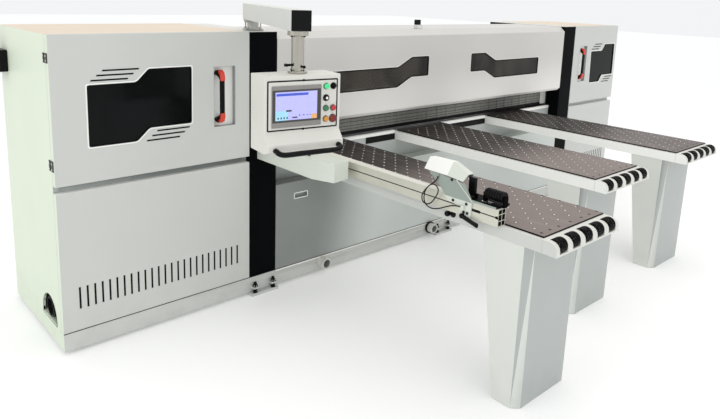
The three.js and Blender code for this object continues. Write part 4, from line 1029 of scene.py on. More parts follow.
@dataclass
class Cabinet:
    """One end cabinet: shell, glazed door with its pull, vented lower panel and hinges."""

    side: Side
    low: float
    high: float
    recess: Span
    window_shares: Sequence[float]
    bar_shift: float
    window_heights: Sequence[float] = (1463, 1463, 1532, 1532, 1201, 1201, 1133, 1133)
    recess_heights: Span = (1160, 1521)
    recess_depth: float = 32.0
    panel_top: float = 905.0
    vents: Span = (240.0, 380.0)
    pin: float = 40.15
    pin_radius: float = 4.2
    hinges: Sequence[Span] = ((1583.0, 1633.0), (1024.0, 1080.0))
    fixed_leaf: Span = (52.0, 70.0)
    turning_leaf: Span = (7.0, 35.0)
    leaf_thickness: float = 4.6
    screw_inset: float = 13.0
    lip: float = 7.0
    bar: float = 8.5
    bar_length: float = 198.0
    bar_steps: Span = (31.0, 25.0)
    pull_side: float = 45.0
    pull_reach: float = 26.0
    pull_inset: float = 22.0

    @property
    def outside(self) -> float:
        """The x of the cabinet's outer wall."""
        return self.low if self.side is Side.LEFT else self.high

    def on_wall(self, way: Vector, at: Vector) -> bool:
        """Whether a face lies on the outer wall, which takes the pale side paint with painted
        light.
        """
        return abs(way.x) > 0.7 and abs(at.x - self.outside) < 4

    def dress_door(self) -> None:
        """Door leaf with its recess, in painted shade with painted light on its back wall, and the
        pane with a pale lip and a dark seal.
        """
        word = self.side.word
        (x0, x1), (z0, z1) = self.recess, self.recess_heights
        floor = self.recess_depth + 2
        # Recess walls get painted shade, its back wall painted light, and the edge on the outer
        # wall the pale side paint.
        skin(f"{word}_door", [Paint.BODY, Paint.RECESS, Paint.LIP, Paint.PALE], 2.0, rules=[
            lambda way, at: x0 - 1 < at.x < x1 + 1 and z0 - 1 < at.z < z1 + 1
            and 0.4 < at.y < floor,
            lambda way, at: x0 < at.x < x1 and z0 < at.z < z1 and way.y < -0.9
            and 2 < at.y < floor,
            self.on_wall])
        skin(f"{word}_door_window", Paint.WINDOW, 0.0)
        width = self.high - self.low
        outline = [(self.low + share * width, z)
                   for share, z in zip(self.window_shares, self.window_heights)]
        Shape().plate(Axis.Y, grown(outline, self.lip), -1.6, 1.0, 22.0, 0.5, self.lip).make(
            f"{word}_window_lip", Paint.LIP, body_of(f"{word}_door"))
        Shape().plate(Axis.Y, outline, 0.6, 7.4, 16.0, 0.0, 4.0).make(
            f"{word}_window_seal", Paint.RUBBER, body_of(f"{word}_door"))
        self.dress_bars(outline[1][0] - 183, outline[5][0] + 40)

    def dress_bars(self, over: float, under: float) -> None:
        """Short dark bars above and below the window, each set off from the last.

        Args:
            over: where the first bar above the window starts.
            under: where the first bar below it starts.
        """
        bars = Shape()
        for i in range(3):
            back, down = (step * i for step in self.bar_steps)
            for start, z in ((over, 1535), (under, 1180)):
                left, low, high = start + self.bar_shift - back, *(
                    z - down + self.bar / 2 * way for way in (-1, 1))
                right = left + min(self.bar_length, self.high - 28 - left)
                bars.plate(Axis.Y, [(left, low), (right, low), (right + 4, high),
                                    (left + 4, high)], -0.9, 0.2, 2.0)
        bars.make(f"{self.side.word}_door_bars", Paint.EDGE, body_of(f"{self.side.word}_door"))

    def dress_pull(self) -> None:
        """The black pull in its recess, with red caps over its bends."""
        node = f"{self.side.word}_door_handle"
        middle = self.recess[0] + self.pull_side
        low, high = (z + self.pull_inset * way
                     for z, way in zip(self.recess_heights, (1.0, -1.0)))
        root, front = 31.7, -self.pull_reach
        bar = [
            (root, low), (root, low + 34), (12.0, low + 38), (front + 19, low + 56),
            (front + 19, high - 56), (12.0, high - 38), (root, high - 34), (root, high),
            (6.0, high), (front + 8, high - 12), (front, high - 36), (front, low + 36),
            (front + 8, low + 12), (6.0, low),
        ]
        pull = Shape().plate(Axis.X, bar, middle - 14, middle + 14, 0.0, 5.0)
        for z in (low + 17, high - 17):
            pull.rod(Axis.Y, (middle - 14, root - 15, z), 15.0, 30.0, 4.0, 24)
        pull.make(f"{self.side.word}_pull", Paint.PLASTIC, body_of(node), [node])
        caps = Shape()
        for end, way in ((low, 1.0), (high, -1.0)):
            bend = [
                (16.0, end - 1.2 * way), (4.0, end - 1.2 * way), (front + 7.2, end + 11 * way),
                (front - 1.2, end + 36 * way), (front - 1.2, end + 62 * way),
                (front + 6.0, end + 58 * way), (front + 14, end + 26 * way),
                (16.0, end + 12 * way),
            ]
            caps.plate(Axis.X, bend, middle - 15, middle + 15, 0.0, 2.0)
        caps.make(f"{self.side.word}_pull_caps", Paint.RED, body_of(node))

    def dress_hinges(self) -> None:
        """Dark hinges on the outer wall: a fixed leaf, a pin, and a leaf that turns."""
        out, x = self.side.value, self.outside
        span = (x, x + self.leaf_thickness * out)
        fixed, turning = Shape(), Shape()
        for low, high in self.hinges:
            turning.use(0).rod(Axis.Z, (x, self.pin, (low + high) / 2), self.pin_radius,
                               high - low, 1.0, 16)
            for leaf, reach in ((fixed, self.fixed_leaf), (turning, self.turning_leaf)):
                leaf.use(0).block(span, reach, (low, high), 1.2)
            for leaf, y in ((fixed, 61), (turning, 20)):
                for z in (low + self.screw_inset, high - self.screw_inset):
                    leaf.use(1).rod(Axis.X, (x + 5.4 * out, y, z), 5.0, 3.2, 1.0, 16)
        word, looks = self.side.word, [Paint.HINGE, Paint.CHROME]
        fixed.make(f"{word}_hinge_leaves", looks)
        turning.make(f"{word}_door_leaves", looks, body_of(f"{word}_door"))

    def dress_panel(self) -> None:
        """Lower panel with a painted highlight on its upper edge, black vent slot walls as painted
        shade, and a dark sheet behind its vents as painted shade.
        """
        word = self.side.word
        # Upper edge: painted highlight; slot walls: painted shade.
        skin(f"{word}_lower_panel", [Paint.BODY, Paint.PALE, Paint.LIP, Paint.EDGE], 2.0, rules=[
            self.on_wall,
            lambda way, at: way.z > 0.7 and at.z > self.panel_top - 4,
            lambda way, at: abs(way.x) > 0.7 and 0 < at.y < 3.1
            and abs(at.x - self.outside) > 40])
        # A dark sheet behind the vents as painted shade.
        Shape().block((self.low + 80, self.high - 60), (3.4, 5.0), self.vents).make(
            f"{word}_vent_screen", Paint.EDGE)

    def build(self) -> None:
        """Dresses the whole cabinet."""
        # Side walls in pale side paint, top in the lit top paint, front faces in darker grey:
        # painted light and painted shade.
        skin(f"{self.side.word}_cabinet", [Paint.PALE, Paint.TOP, Paint.GREY], 2.0, rules=[
            lambda way, at: way.z > 0.9 and at.z > 1700,
            lambda way, at: way.y < -0.9 and at.y < 60])
        self.dress_panel()
        self.dress_door()
        self.dress_pull()
        self.dress_hinges()


@dataclass
class DustOutlet:
    """The arch in the left wall, its rubber edge and the ribbed hose inside it."""

    wall: float = -3065.0
    front: float = 104.0
    back: float = 340.0
    low: float = 124.5
    spring: float = 157.0
    steps: int = 14
    rim: float = 7.0
    hose_span: Span = (-3060.0, -2868.0)
    hose_centre: Span = (232.0, 194.6)
    hose_radius: float = 60.0
    hose_wall: float = 10.0
    ribs: int = 12
    rib: Sequence[Span] = ((0.22, 5.0), (0.34, 1.0), (0.5, 0.0), (0.66, 1.0), (0.78, 5.0))

    def build(self) -> None:
        """Makes the edge of the arch and the hose."""
        middle, radius = (self.front + self.back) / 2, (self.back - self.front) / 2
        angles = [math.pi * i / self.steps for i in range(self.steps + 1)]
        arch = [(self.front, self.low), (self.back, self.low)] + [
            (middle + radius * math.cos(a), self.spring + radius * math.sin(a)) for a in angles]
        Shape().plate(Axis.X, arch, self.wall - 2.0, self.wall + 9.0, 0.0, 0.0, self.rim).make(
            "outlet_edge", Paint.RUBBER)
        start, end = self.hose_span
        pitch = (end - start) / self.ribs
        bore, valley = self.hose_radius - self.hose_wall, self.hose_radius - self.rib[0][1]
        profile = [(start, bore), (start, valley)]
        for i in range(self.ribs):
            profile += [(start + i * pitch + pitch * share, self.hose_radius - drop)
                        for share, drop in self.rib]
        profile += [(end, valley), (end, bore)]
        profile += [(start + i * pitch / 2, bore + (2.5 if i % 2 else 0.0))
                    for i in range(self.ribs * 2 - 1, 0, -1)]
        Shape().lathe(Axis.X, (0, *self.hose_centre), profile, 56, ring=True).make(
            "ribbed_hose", Paint.RUBBER, body_of("dust_hose"), ["dust_hose"])


@dataclass
class Plinth:
    """Plinth frame with its levelling bolts, nuts and pipe stubs."""

    ends: Span = (-3065.0, 2785.0)
    lip_ends: Span = (-1699.0, 1699.0)
    bolts: Sequence[float] = (-1802.5, 0.0, 1802.5)
    bolt_reach: float = 70.0
    line: float = -20.0
    threads: int = 13
    thread_pitch: float = 2.2
    washer: Outline = ((60.2, 0), (60.2, 18), (62.6, 18), (62.6, 0))
    stubs: Sequence[float] = (-1300.0, -154.0)
    stub_height: float = 80.0
    sleeve: Outline = (
        (-0.4, 37.1), (-0.4, 39.4), (-8, 39.4), (-9, 38.2), (-56, 38.2), (-57, 39.6),
        (-62.9, 39.6), (-63.6, 38.8), (-63.6, 30.6), (-58, 30.6), (-58, 30.9), (-62.4, 30.9),
        (-62.4, 37.1))
    lining: Outline = ((-57.0, 30.9), (-57.0, 29.4), (-0.8, 29.4), (-0.8, 30.9))
    ring: Outline = ((-1.0, 43.0), (-8.0, 40.0), (-17.0, 41.0), (-20.0, 45.0), (-17.0, 49.0),
                     (-8.0, 50.0), (-1.0, 47.0))

    def dress_bolts(self) -> None:
        """Jacking bolts with their nuts, washers and thread."""
        turns = [(92.0, 0.0), (92.0, 8.0)]
        for i in range(self.threads):
            z = 90.0 - i * self.thread_pitch
            turns += [(z, 9.9), (z - self.thread_pitch / 2, 9.2)]
        turns += [(60.4, 9.6), (60.4, 0.0)]
        shape = Shape()
        for x in self.bolts:
            for at in (x - self.bolt_reach, x + self.bolt_reach):
                foot = (at, self.line, 0.0)
                shape.lathe(Axis.Z, foot, turns, 16).lathe(Axis.Z, foot, self.washer, 20)
                for z, radius, length, edge, sides in (
                        (68.6, 17.0, 12.0, 1.6, 6), (33.0, 12.5, 29.0, 0.0, 16),
                        (22.5, 17.0, 8.0, 1.6, 6)):
                    shape.rod(Axis.Z, (at, self.line, z), radius, length, edge, sides)
        shape.make("levelling_bolts", Paint.EDGE)

    def dress_stubs(self) -> None:
        """Pale sleeves over the pipe stubs, with painted shade inside, and a rubber ring at the
        second.
        """
        sleeves, linings, ring = Shape(), Shape(), Shape()
        centres = [(x, 0.0, self.stub_height) for x in self.stubs]
        for centre in centres:
            sleeves.lathe(Axis.Y, centre, self.sleeve, 40, ring=True)
            linings.lathe(Axis.Y, centre, self.lining, 40, ring=True)
        ring.lathe(Axis.Y, centres[1], self.ring, 40, ring=True)
        sleeves.make("stub_sleeves", Paint.WARM)
        # The dark band inside each bore is painted shade.
        linings.make("stub_linings", Paint.RECESS)
        ring.make("stub_ring", Paint.RUBBER)

    def build(self) -> None:
        """Dresses the plinth and everything on it."""
        # End faces of the plinth take the pale side paint, lighter as painted light.
        skin("base_frame", [Paint.BODY, Paint.PALE], 2.0, rules=[
            lambda way, at: abs(way.x) > 0.9
            and not self.ends[0] + 3 <= at.x <= self.ends[1] - 3])
        Shape().block(self.ends, (-0.7, 2.0), (121.4, 126.0)).make("plinth_seam", Paint.EDGE)
        # A white strip along the plinth between the columns: a painted highlight.
        Shape().block(self.lip_ends, (-1.2, 1.0), (111.0, 121.2), 0.4).make(
            "plinth_lip", Paint.LIP)
        self.dress_bolts()
        self.dress_stubs()


@dataclass
class Portal:
    """The two dark columns with pale tops, and the beam that joins them."""

    top: float = 1722.0

    def build(self) -> None:
        """Dresses the portal."""
        skin("portal_frame", [Paint.BLACK, Paint.WARM], 3.0, rules=[
            lambda way, at: way.z > 0.9 and at.z > self.top - 4])


@dataclass
class MainSwitch:
    """Switch box on the left wall, with its red lever."""

    front: float = 742.0
    back: float = 896.0
    bottom: float = 1461.0
    top: float = 1588.0
    face: float = -3155.0
    inset: float = 13.0
    arm: Outline = ((-12.0, 0.0), (12.0, 0.0), (8.0, 141.0), (-8.0, 141.0))

    def build(self) -> None:
        """Dresses the box, its screws, collar and lever."""
        skin("isolator_box", Paint.PLASTIC, 5.0, 3)
        y, z = (self.front + self.back) / 2, (self.bottom + self.top) / 2
        screws = Shape()
        for place in rectangle((self.front + self.inset, self.back - self.inset),
                               (self.bottom + self.inset, self.top - self.inset)):
            screws.rod(Axis.X, (self.face - 0.4, *place), 4.0, 2.0, 0.6, 12)
        screws.make("isolator_screws", Paint.STEEL)
        lever = Shape().rod(Axis.X, (self.face - 7.3, y, z), 29.0, 13.4, 3.0, 40)
        lever.plate(Axis.X, [(y + across, z + up) for across, up in self.arm],
                    self.face - 13.8, self.face - 2.0, 5.0, 2.0)
        lever.make("isolator_handle", Paint.RED, body_of("isolator_lever"), ["isolator_lever"])


@dataclass
class BeamCover:
    """The hood over the saw line, with its two windows, their seals and a fitting on top."""

    window: Outline = ((262, 1359), (456, 1359), (604, 1288), (1276, 1288),
                       (1276, 1443), (604, 1443), (456, 1514), (262, 1514))
    rim: float = 8.0
    lip: float = 4.2
    fitting: Sequence[tuple[str, Finish, Sequence[Span], tuple[Axis, Point, float, float]]] = (
        ("base", Paint.CHROME, ((-350.0, -290.0), (60.0, 100.0), (1720.0, 1752.0)),
         (Axis.Z, (-306, 80, 1770), 11.0, 40.0)),
        ("head", Paint.PLASTIC, ((-349.0, -312.0), (62.0, 98.0), (1752.0, 1790.0)),
         (Axis.X, (-318, 80, 1776), 9.0, 24.0)))

    def build(self) -> None:
        """Dresses the cover and what is on it."""
        skin("beam_cover", Paint.COVER, 3.0)
        skin("cover_windows", Paint.VISOR, 0.0)
        seals, lips = Shape(), Shape()
        for sign in (1.0, -1.0):
            outline = [(x * sign, z) for x, z in self.window]
            seals.plate(Axis.Y, outline, -0.8, 3.9, 25.0, 0.0, self.rim)
            lips.plate(Axis.Y, grown(outline, 3.6), -0.6, 1.0, 32.0, 0.0, self.lip)
        seals.make("cover_window_seals", Paint.EDGE)
        # White lips round the windows: a painted highlight on their edges.
        lips.make("cover_window_lips", Paint.LIP)
        for word, finish, spans, rod in self.fitting:
            Shape().block(*spans, 3.0).rod(*rod, 2.0, 20).make(f"cover_fitting_{word}", finish)


@dataclass
class StripCurtain:
    """Overlapping clear strips that hang under the cover."""

    line: float = 151.5
    span: Span = (-1650.0, 1600.0)
    bottom: float = 940.5
    top: float = 1075.0
    strips: int = 54
    lean: float = 0.9
    ribs: Sequence[float] = (983.0, 1004.0, 1033.0, 1058.0)
    end: float = 1698.5

    def build(self) -> None:
        """Hangs the strips on their rail."""
        body = body_of("safety_curtain")
        shape, ribs = Shape(), Shape()
        pitch = (self.span[1] - self.span[0]) / self.strips
        for i in range(self.strips):
            turn = Matrix.Rotation(math.radians(math.sin(i * 2.4) * self.lean), 4, "Z")
            x = self.span[0] + i * pitch
            y = self.line + (1.6 if i % 2 else -1.6)
            shape.block((x + 1.0, x + pitch + 2.0), (y - 0.7, y + 0.7),
                        (self.bottom, self.top), turn=turn)
            for z in self.ribs:
                ribs.block((x + 1.5, x + pitch + 1.5), (y - 1.3, y - 0.5), (z - 2.2, z + 2.2),
                           turn=turn)
        shape.make("curtain_strips", Paint.STRIP, body, ["safety_curtain"])
        Shape().block(self.span, (self.line - 4.4, self.line - 3.0),
                      (self.bottom, self.bottom + 26), 0.4).make(
            "curtain_hem", Paint.EDGE, body)
        ribs.make("curtain_ribs", Paint.HINGE, body)
        Shape().block((self.span[1] + 4, self.end), (self.line - 1, self.line + 1),
                      (self.bottom + 4, self.top + 14), 0.4).make(
            "curtain_end_plate", Paint.WARM)
        Shape().block(self.span, (self.line - 5.5, self.line - 3.0),
                      (self.top + 0.5, self.top + 20), 0.6).make(
            "curtain_clamp", Paint.RECESS)


@dataclass
class SawBed:
    """Bed with its pale front lip, the panel below it and the latch in that panel."""

    lips: Sequence[Span] = ((-1699.0, -1600.6), (-1033.4, -501.6), (65.6, 652.4),
                            (1219.6, 1699.0))
    lip_depth: Span = (104.6, 131.0)
    joint_depth: Span = (131.0, 136.0)
    ports: Sequence[Span] = ((-810.0, -502.0), (130.0, 652.0))
    port_depth: Span = (102.6, 106.9)
    port_heights: Span = (856.0, 905.0)
    latch: Span = (-1548.0, -1441.0)
    latch_heights: Span = (597.0, 631.0)

    def build(self) -> None:
        """Dresses the bed and the front panel."""
        # The bed is in the darker grey as painted shade under the tables; its top is laminate.
        skin("saw_bed", [Paint.GREY, Paint.TABLE], 1.5, rules=[
            lambda way, at: way.z > 0.9 and at.z > 900])
        skin("front_panel", Paint.FRONT, 2.0)
        ports, lips, joints = Shape(), Shape(), Shape()
        for x in self.ports:
            ports.block(x, self.port_depth, self.port_heights, 1.0)
        for x in self.lips:
            lips.block(x, self.lip_depth, (905, 929.4), 0.8)
            joints.block(x, self.joint_depth, (925, 929.6), 0.4)
        ports.make("bed_port_covers", Paint.EDGE)
        lips.make("bed_lip", Paint.LIP)
        joints.make("bed_lip_joint", Paint.EDGE)
        outline = grown(rectangle(self.latch, self.latch_heights), 5.0)
        Shape().plate(Axis.Y, outline, -1.6, 0.4, 5.0, 0.5, 6.5).make("latch_frame", Paint.LIP)


@dataclass
class SawUnit:
    """Everything that runs inside the bed: rail, carriage, head, motors, blades and clamp."""

    parts: Sequence[tuple[str, Finish, float]] = (
        ("pressure_beam", Paint.ALLOY, 2.0), ("carriage_rail", Paint.STEEL, 1.5),
        ("saw_carriage", Paint.DARK, 2.0), ("saw_head", Paint.DARK, 2.0),
        ("main_motor", Paint.DARK, 3.0), ("main_blade", Paint.STEEL, 0.0),
        ("scoring_blade", Paint.STEEL, 0.0))

    def build(self) -> None:
        """Dresses each part in its finish, with edges rounded by its last number."""
        for node, finish, edge in self.parts:
            skin(node, finish, edge)


@dataclass
class AirTable:
    """One air table: white frame with cap and leg, laminate top with nozzles, end rollers."""

    word: str
    side: float
    outer: float
    inner: float = 106.7
    width: float = 540.0
    lip: float = 26.0
    top: float = 929.0
    underside: float = 857.0
    cap: float = 85.0
    gap: float = 9.0
    roller_radius: float = 35.0
    roller_width: float = 64.0
    rollers: int = 5
    groove_pitch: float = 11.0
    row_pitch: float = 50.6
    column_pitch: float = 101.0
    first: Span = (54.0, 85.5)
    screws: Sequence[float] = (31.0, 101.0, 176.0, 279.0, 382.0, 457.0)
    # Paint of the frame's side faces: white as painted light, or body grey as a painted shadow of
    # the fence.
    rail: Finish = Paint.LIP

    @property
    def edges(self) -> Span:
        """The x of the frame's two sides."""
        return self.side - self.lip, self.side + self.width

    def nozzle_places(self) -> list[Span]:
        """Lays out the nozzles in rows that are set off by half a pitch.

        Returns:
            The places of the nozzles.
        """
        places = []
        rows = int((self.inner - 40 - self.outer - self.first[1]) // self.row_pitch) + 1
        for row in range(rows):
            x = self.side + self.first[0] + (row % 2) * self.column_pitch / 2
            while x < self.side + self.width - 20:
                places.append((x, self.outer + self.first[1] + row * self.row_pitch))
                x += self.column_pitch
        return places

    def screw_places(self) -> list[Span]:
        """Lays out the black screws along the outer edge and the right edge.

        Returns:
            The places of the screws.
        """
        y = self.outer + 33.5
        places = [(self.side + x, y) for x in self.screws]
        while y < self.inner - 40:
            places.append((self.side + self.width - 8, y))
            y += self.column_pitch + 4
        return places

    def dress_top(self) -> None:
        """Laminate top with its black edge band, its nozzles and its screws."""
        skin(f"{self.word}_table_top", [Paint.TABLE, Paint.EDGE], 0.9, 1,
             [lambda way, at: abs(way.z) < 0.9], f"{self.word}_board")
        nozzles, screws = self.nozzle_places(), self.screw_places()
        for name, finish, places, sides, profile in (
                ("nozzle_rings", Paint.EDGE, nozzles, 12, [(-0.3, 8.4), (0.25, 8.0), (0.3, 0.0)]),
                ("nozzles", Paint.SOCKET, nozzles, 10, [(0.1, 5.4), (0.9, 4.8), (1.0, 0.0)]),
                ("board_screws", Paint.EDGE, screws, 12, [(-0.3, 7.4), (0.5, 6.8), (0.6, 0.0)])):
            shape = Shape()
            for place in places:
                shape.lathe(Axis.Z, (*place, self.top), profile, sides)
            shape.make(f"{self.word}_{name}", finish)

    def dress_rollers(self) -> None:
        """Grooved rubber rollers on a steel axle, flush with the cap."""
        x0, x1 = self.edges
        y, z = self.outer - self.cap + self.roller_radius, self.top - self.roller_radius
        half, r = self.roller_width / 2, self.roller_radius
        end = [(8.0, half), (r - 3, half), (r - 1, half - 1), (r, half - 3)]
        profile = [(-along, radius) for radius, along in end]
        for j in range(-2, 3):
            profile += [(j * self.groove_pitch + along, radius) for along, radius in (
                (-1.4, r), (-0.8, r - 1.4), (0.8, r - 1.4), (1.4, r))]
        profile += [(along, radius) for radius, along in reversed(end)]
        edge = half + (x1 - x0) * 0.053
        rubber = Shape()
        for i in range(self.rollers):
            x = x0 + edge + (x1 - x0 - 2 * edge) * i / (self.rollers - 1)
            rubber.lathe(Axis.X, (x, y, z), profile, 48, ring=True)
        node = f"{self.word}_end_rollers"
        rubber.make(f"{self.word}_roller_tyres", Paint.TYRE, body_of(node), [node])
        Shape().rod(Axis.X, ((x0 + x1) / 2, y, z), 7.9, x1 - x0 - 2 * self.gap, 0.8, 20).make(
            f"{self.word}_roller_axle", Paint.STEEL, body_of(node))

    def dress_frame(self) -> None:
        """Frame, cap and leg in lit and shaded copies of their paint, with the seam between cap
        and frame.
        """
        # Leg fronts in painted shade, leg sides and frame sides in painted light.
        skin(f"{self.word}_table_frame", [Paint.WARM, Paint.LEG, Paint.LEG_SIDE, self.rail], 2.0,
             rules=[lambda way, at: at.z < self.underside,
                    lambda way, at: at.z < self.underside and abs(way.x) > 0.6,
                    lambda way, at: at.z > self.underside and abs(way.x) > 0.9],
             name=f"{self.word}_frame_skin")
        line = self.outer - self.gap
        seam = Shape()
        for x, out in zip(self.edges, (-1.0, 1.0)):
            seam.block((x - out, x + 0.3 * out), (line - 0.7, line + 0.7), (859, 920))
        seam.make(f"{self.word}_cap_seam", Paint.GREY)

    def build(self) -> None:
        """Dresses the whole table."""
        self.dress_frame()
        self.dress_top()
        self.dress_rollers()


@dataclass
class SideFence:
    """Side fence: housing, drawn profile with its scale, and the readout stop."""

    left: float = -1632.3
    right: float = -1574.3
    top: float = 1007.0
    front: float = -1703.0
    plate: float = -1640.6
    deck: float = 1017.3
    split: float = 1000.0
    tick_pitch: float = 10.0
    tick_span: Span = (-1240.0, -690.0)
    groove: Sequence[Span] = ((-1598.0, -1545.0), (-1702.6, -1688.0))
    bend: float = -1400.0
    fold: Outline = ((-1451.5, 1093.4), (-1497.6, 1054.4), (-1557.9, 1004.6))
    bolts: Sequence[Span] = ((-1423, 1088), (-1438, 987), (-1521, 988), (-1508, 944),
                             (-1529, 944))
    roller_radius: float = 27.0
    roller_span: Span = (-1697.0, -1592.0)
    ribs: int = 7
    rib_pitch: float = 15.0
    lever: Point = (-1640.9, -1503.0, 925.0)
    grip: Outline = ((0.0, -9.0), (0.0, 9.0), (-60.0, -7.0), (-97.0, -15.0), (-97.0, -34.0),
                     (-60.0, -24.0))
    knobs: Sequence[tuple[str, Sequence[Rod]]] = (
        ("table_knob", ((Axis.X, (-1610.5, -1382, 894), 14.0, 20.0, 4.0, 28),
                        (Axis.X, (-1603, -1382, 894), 7.0, 6.0, 0.0, 20),
                        (Axis.X, (-1601.5, -1411, 897), 17.0, 3.0, 1.0, 28))),
        ("housing_knob", ((Axis.Z, (-1800, -480, 1038), 7.0, 12.0, 1.6, 20),
                          (Axis.Z, (-1800, -480, 1048), 11.0, 9.0, 3.0, 24))))

    def dress_profile(self) -> None:
        """Profile with a scale on its top, painted light on its top face, and painted shade in its
        groove.
        """
        skin("fence_housing", Paint.HOUSING, 3.0, 3)
        # Top faces in the lighter alloy as painted light; faces inside the groove dark as painted
        # shade.
        skin("fence_profile", [Paint.ALLOY, Paint.RAIL_TOP, Paint.HINGE], 1.0, rules=[
            lambda way, at: way.z > 0.9 and at.z > self.top - 2,
            lambda way, at: abs(way.y) < 0.5 and at.z < self.top - 2
            and self.left + 1.5 < at.x < self.right - 1.5])
        ticks = Shape()
        for i in range(round((self.tick_span[1] - self.tick_span[0]) / self.tick_pitch)):
            y = self.tick_span[0] + i * self.tick_pitch
            reach = 16.0 if i % 5 == 0 else 9.0
            ticks.block((self.right - 3 - reach, self.right - 3), (y - 0.6, y + 0.6),
                        (self.top - 0.2, self.top + 0.15))
        ticks.make("fence_scale", Paint.DARK)
        # A dark strip and dark slots in the groove: painted shade.
        groove = Shape().block((self.left + 0.9, self.left + 2.2), (self.front + 1, 105),
                               (963.4, 968.6))
        for y in self.groove:
            groove.block((self.left - 0.5, self.left + 2.2), y, (959.0, 973.0), 0.6)
        groove.make("fence_groove", Paint.EDGE)

    def dress_stop(self) -> None:
        """Bracket with its deck, gusset, plate and bolts, the bent hood and the flip stop."""
        body = body_of("stop_bracket")
        bracket = Shape().copy("stop_bracket", 1.2)
        whole = bracket.whole
        bmesh.ops.bisect_plane(
            whole, geom=list(whole.verts) + list(whole.edges) + list(whole.faces),
            dist=MERGE, plane_co=(0, 0, self.split), plane_no=(0, 0, 1))
        bracket.paint(2, lambda way, at: at.z > self.split)
        bracket.paint(1, lambda way, at: at.z > self.top + 0.2 and at.y < -1470
                      and at.x > self.left - 1)
        bracket.make("stop_bracket_skin", [Paint.HOUSING, Paint.BLACK, Paint.GUSSET], body,
                     ["stop_bracket"])
        # Lit and shaded copies: white, grey on the facets turned to the front beyond the bend,
        # darker grey on faces turned left or down.
        skin("stop_hood", [Paint.LIP, Paint.HOUSING, Paint.RECESS], 0.8, rules=[
            lambda way, at: way.y < -0.02 and at.y < self.bend,
            lambda way, at: way.x < -0.9 or way.z < -0.3])
        fold = Shape()
        for (y0, z0), (y1, z1) in zip(self.fold, self.fold[1:]):
            y, z, half = (y0 + y1) / 2, (z0 + z1) / 2, math.hypot(y1 - y0, z1 - z0) / 2 + 0.8
            turn = Matrix.Rotation(math.atan2(z1 - z0, y1 - y0), 4, "X")
            fold.block((self.plate - 2.2, self.plate + 3.0), (y - half, y + half),
                       (z - 2, z + 2), 0.5, turn=turn)
        fold.make("gusset_fold", Paint.WARM, body)
        Shape().block((-1614, -1592), (-1640, -1588), (self.deck - 0.2, self.deck + 1.6),
                      0.5).make("deck_plate", Paint.CHROME, body)
        skin("flip_stop", Paint.PLASTIC, 3.0)
        heads = Shape()
        for place in self.bolts:
            heads.rod(Axis.X, (self.plate - 2.4, *place), 7.0, 5.0, 1.2, 20)
        heads.make("stop_bolts", Paint.DARK, body)

    def dress_roller(self) -> None:
        """The stop's ribbed black roller."""
        r, (start, end) = self.roller_radius, self.roller_span
        low = r - 3.2
        profile = [(start, 6.3), (start, r - 1.5), (start + 1.5, r)]
        for i in range(self.ribs):
            at = start + i * self.rib_pitch
            profile += [(at + 8, r), (at + 9.5, low), (at + 13.5, low), (at + 15, r)]
        profile = profile[:-1] + [(end - 1.5, low), (end, low - 0.4), (end, 6.3)]
        Shape().lathe(Axis.Y, (-1580.0, 0.0, self.deck + 37), profile, 40, ring=True).make(
            "ribbed_roller", Paint.PLASTIC, body_of("stop_roller"), ["stop_roller"])

    def dress_lever(self) -> None:
        """Clamping lever with a round hub and a thicker grip, and two knobs."""
        x, y, z = self.lever
        lever = Shape().rod(Axis.X, (x - 7, y, z), 13.0, 14.0, 2.0, 32)
        lever.plate(Axis.X, [(y + along, z + up) for along, up in self.grip],
                    x - 13.5, x - 1.0, 3.0, 3.0)
        lever.make("stop_lever_grip", Paint.PLASTIC, body_of("stop_lever"), ["stop_lever"])
        for name, rods in self.knobs:
            knob = Shape()
            for sizes in rods:
                knob.rod(*sizes)
            knob.make(name, Paint.PLASTIC)

    def build(self) -> None:
        """Dresses the fence and its stop."""
        self.dress_profile()
        self.dress_stop()
        self.dress_roller()
        self.dress_lever()


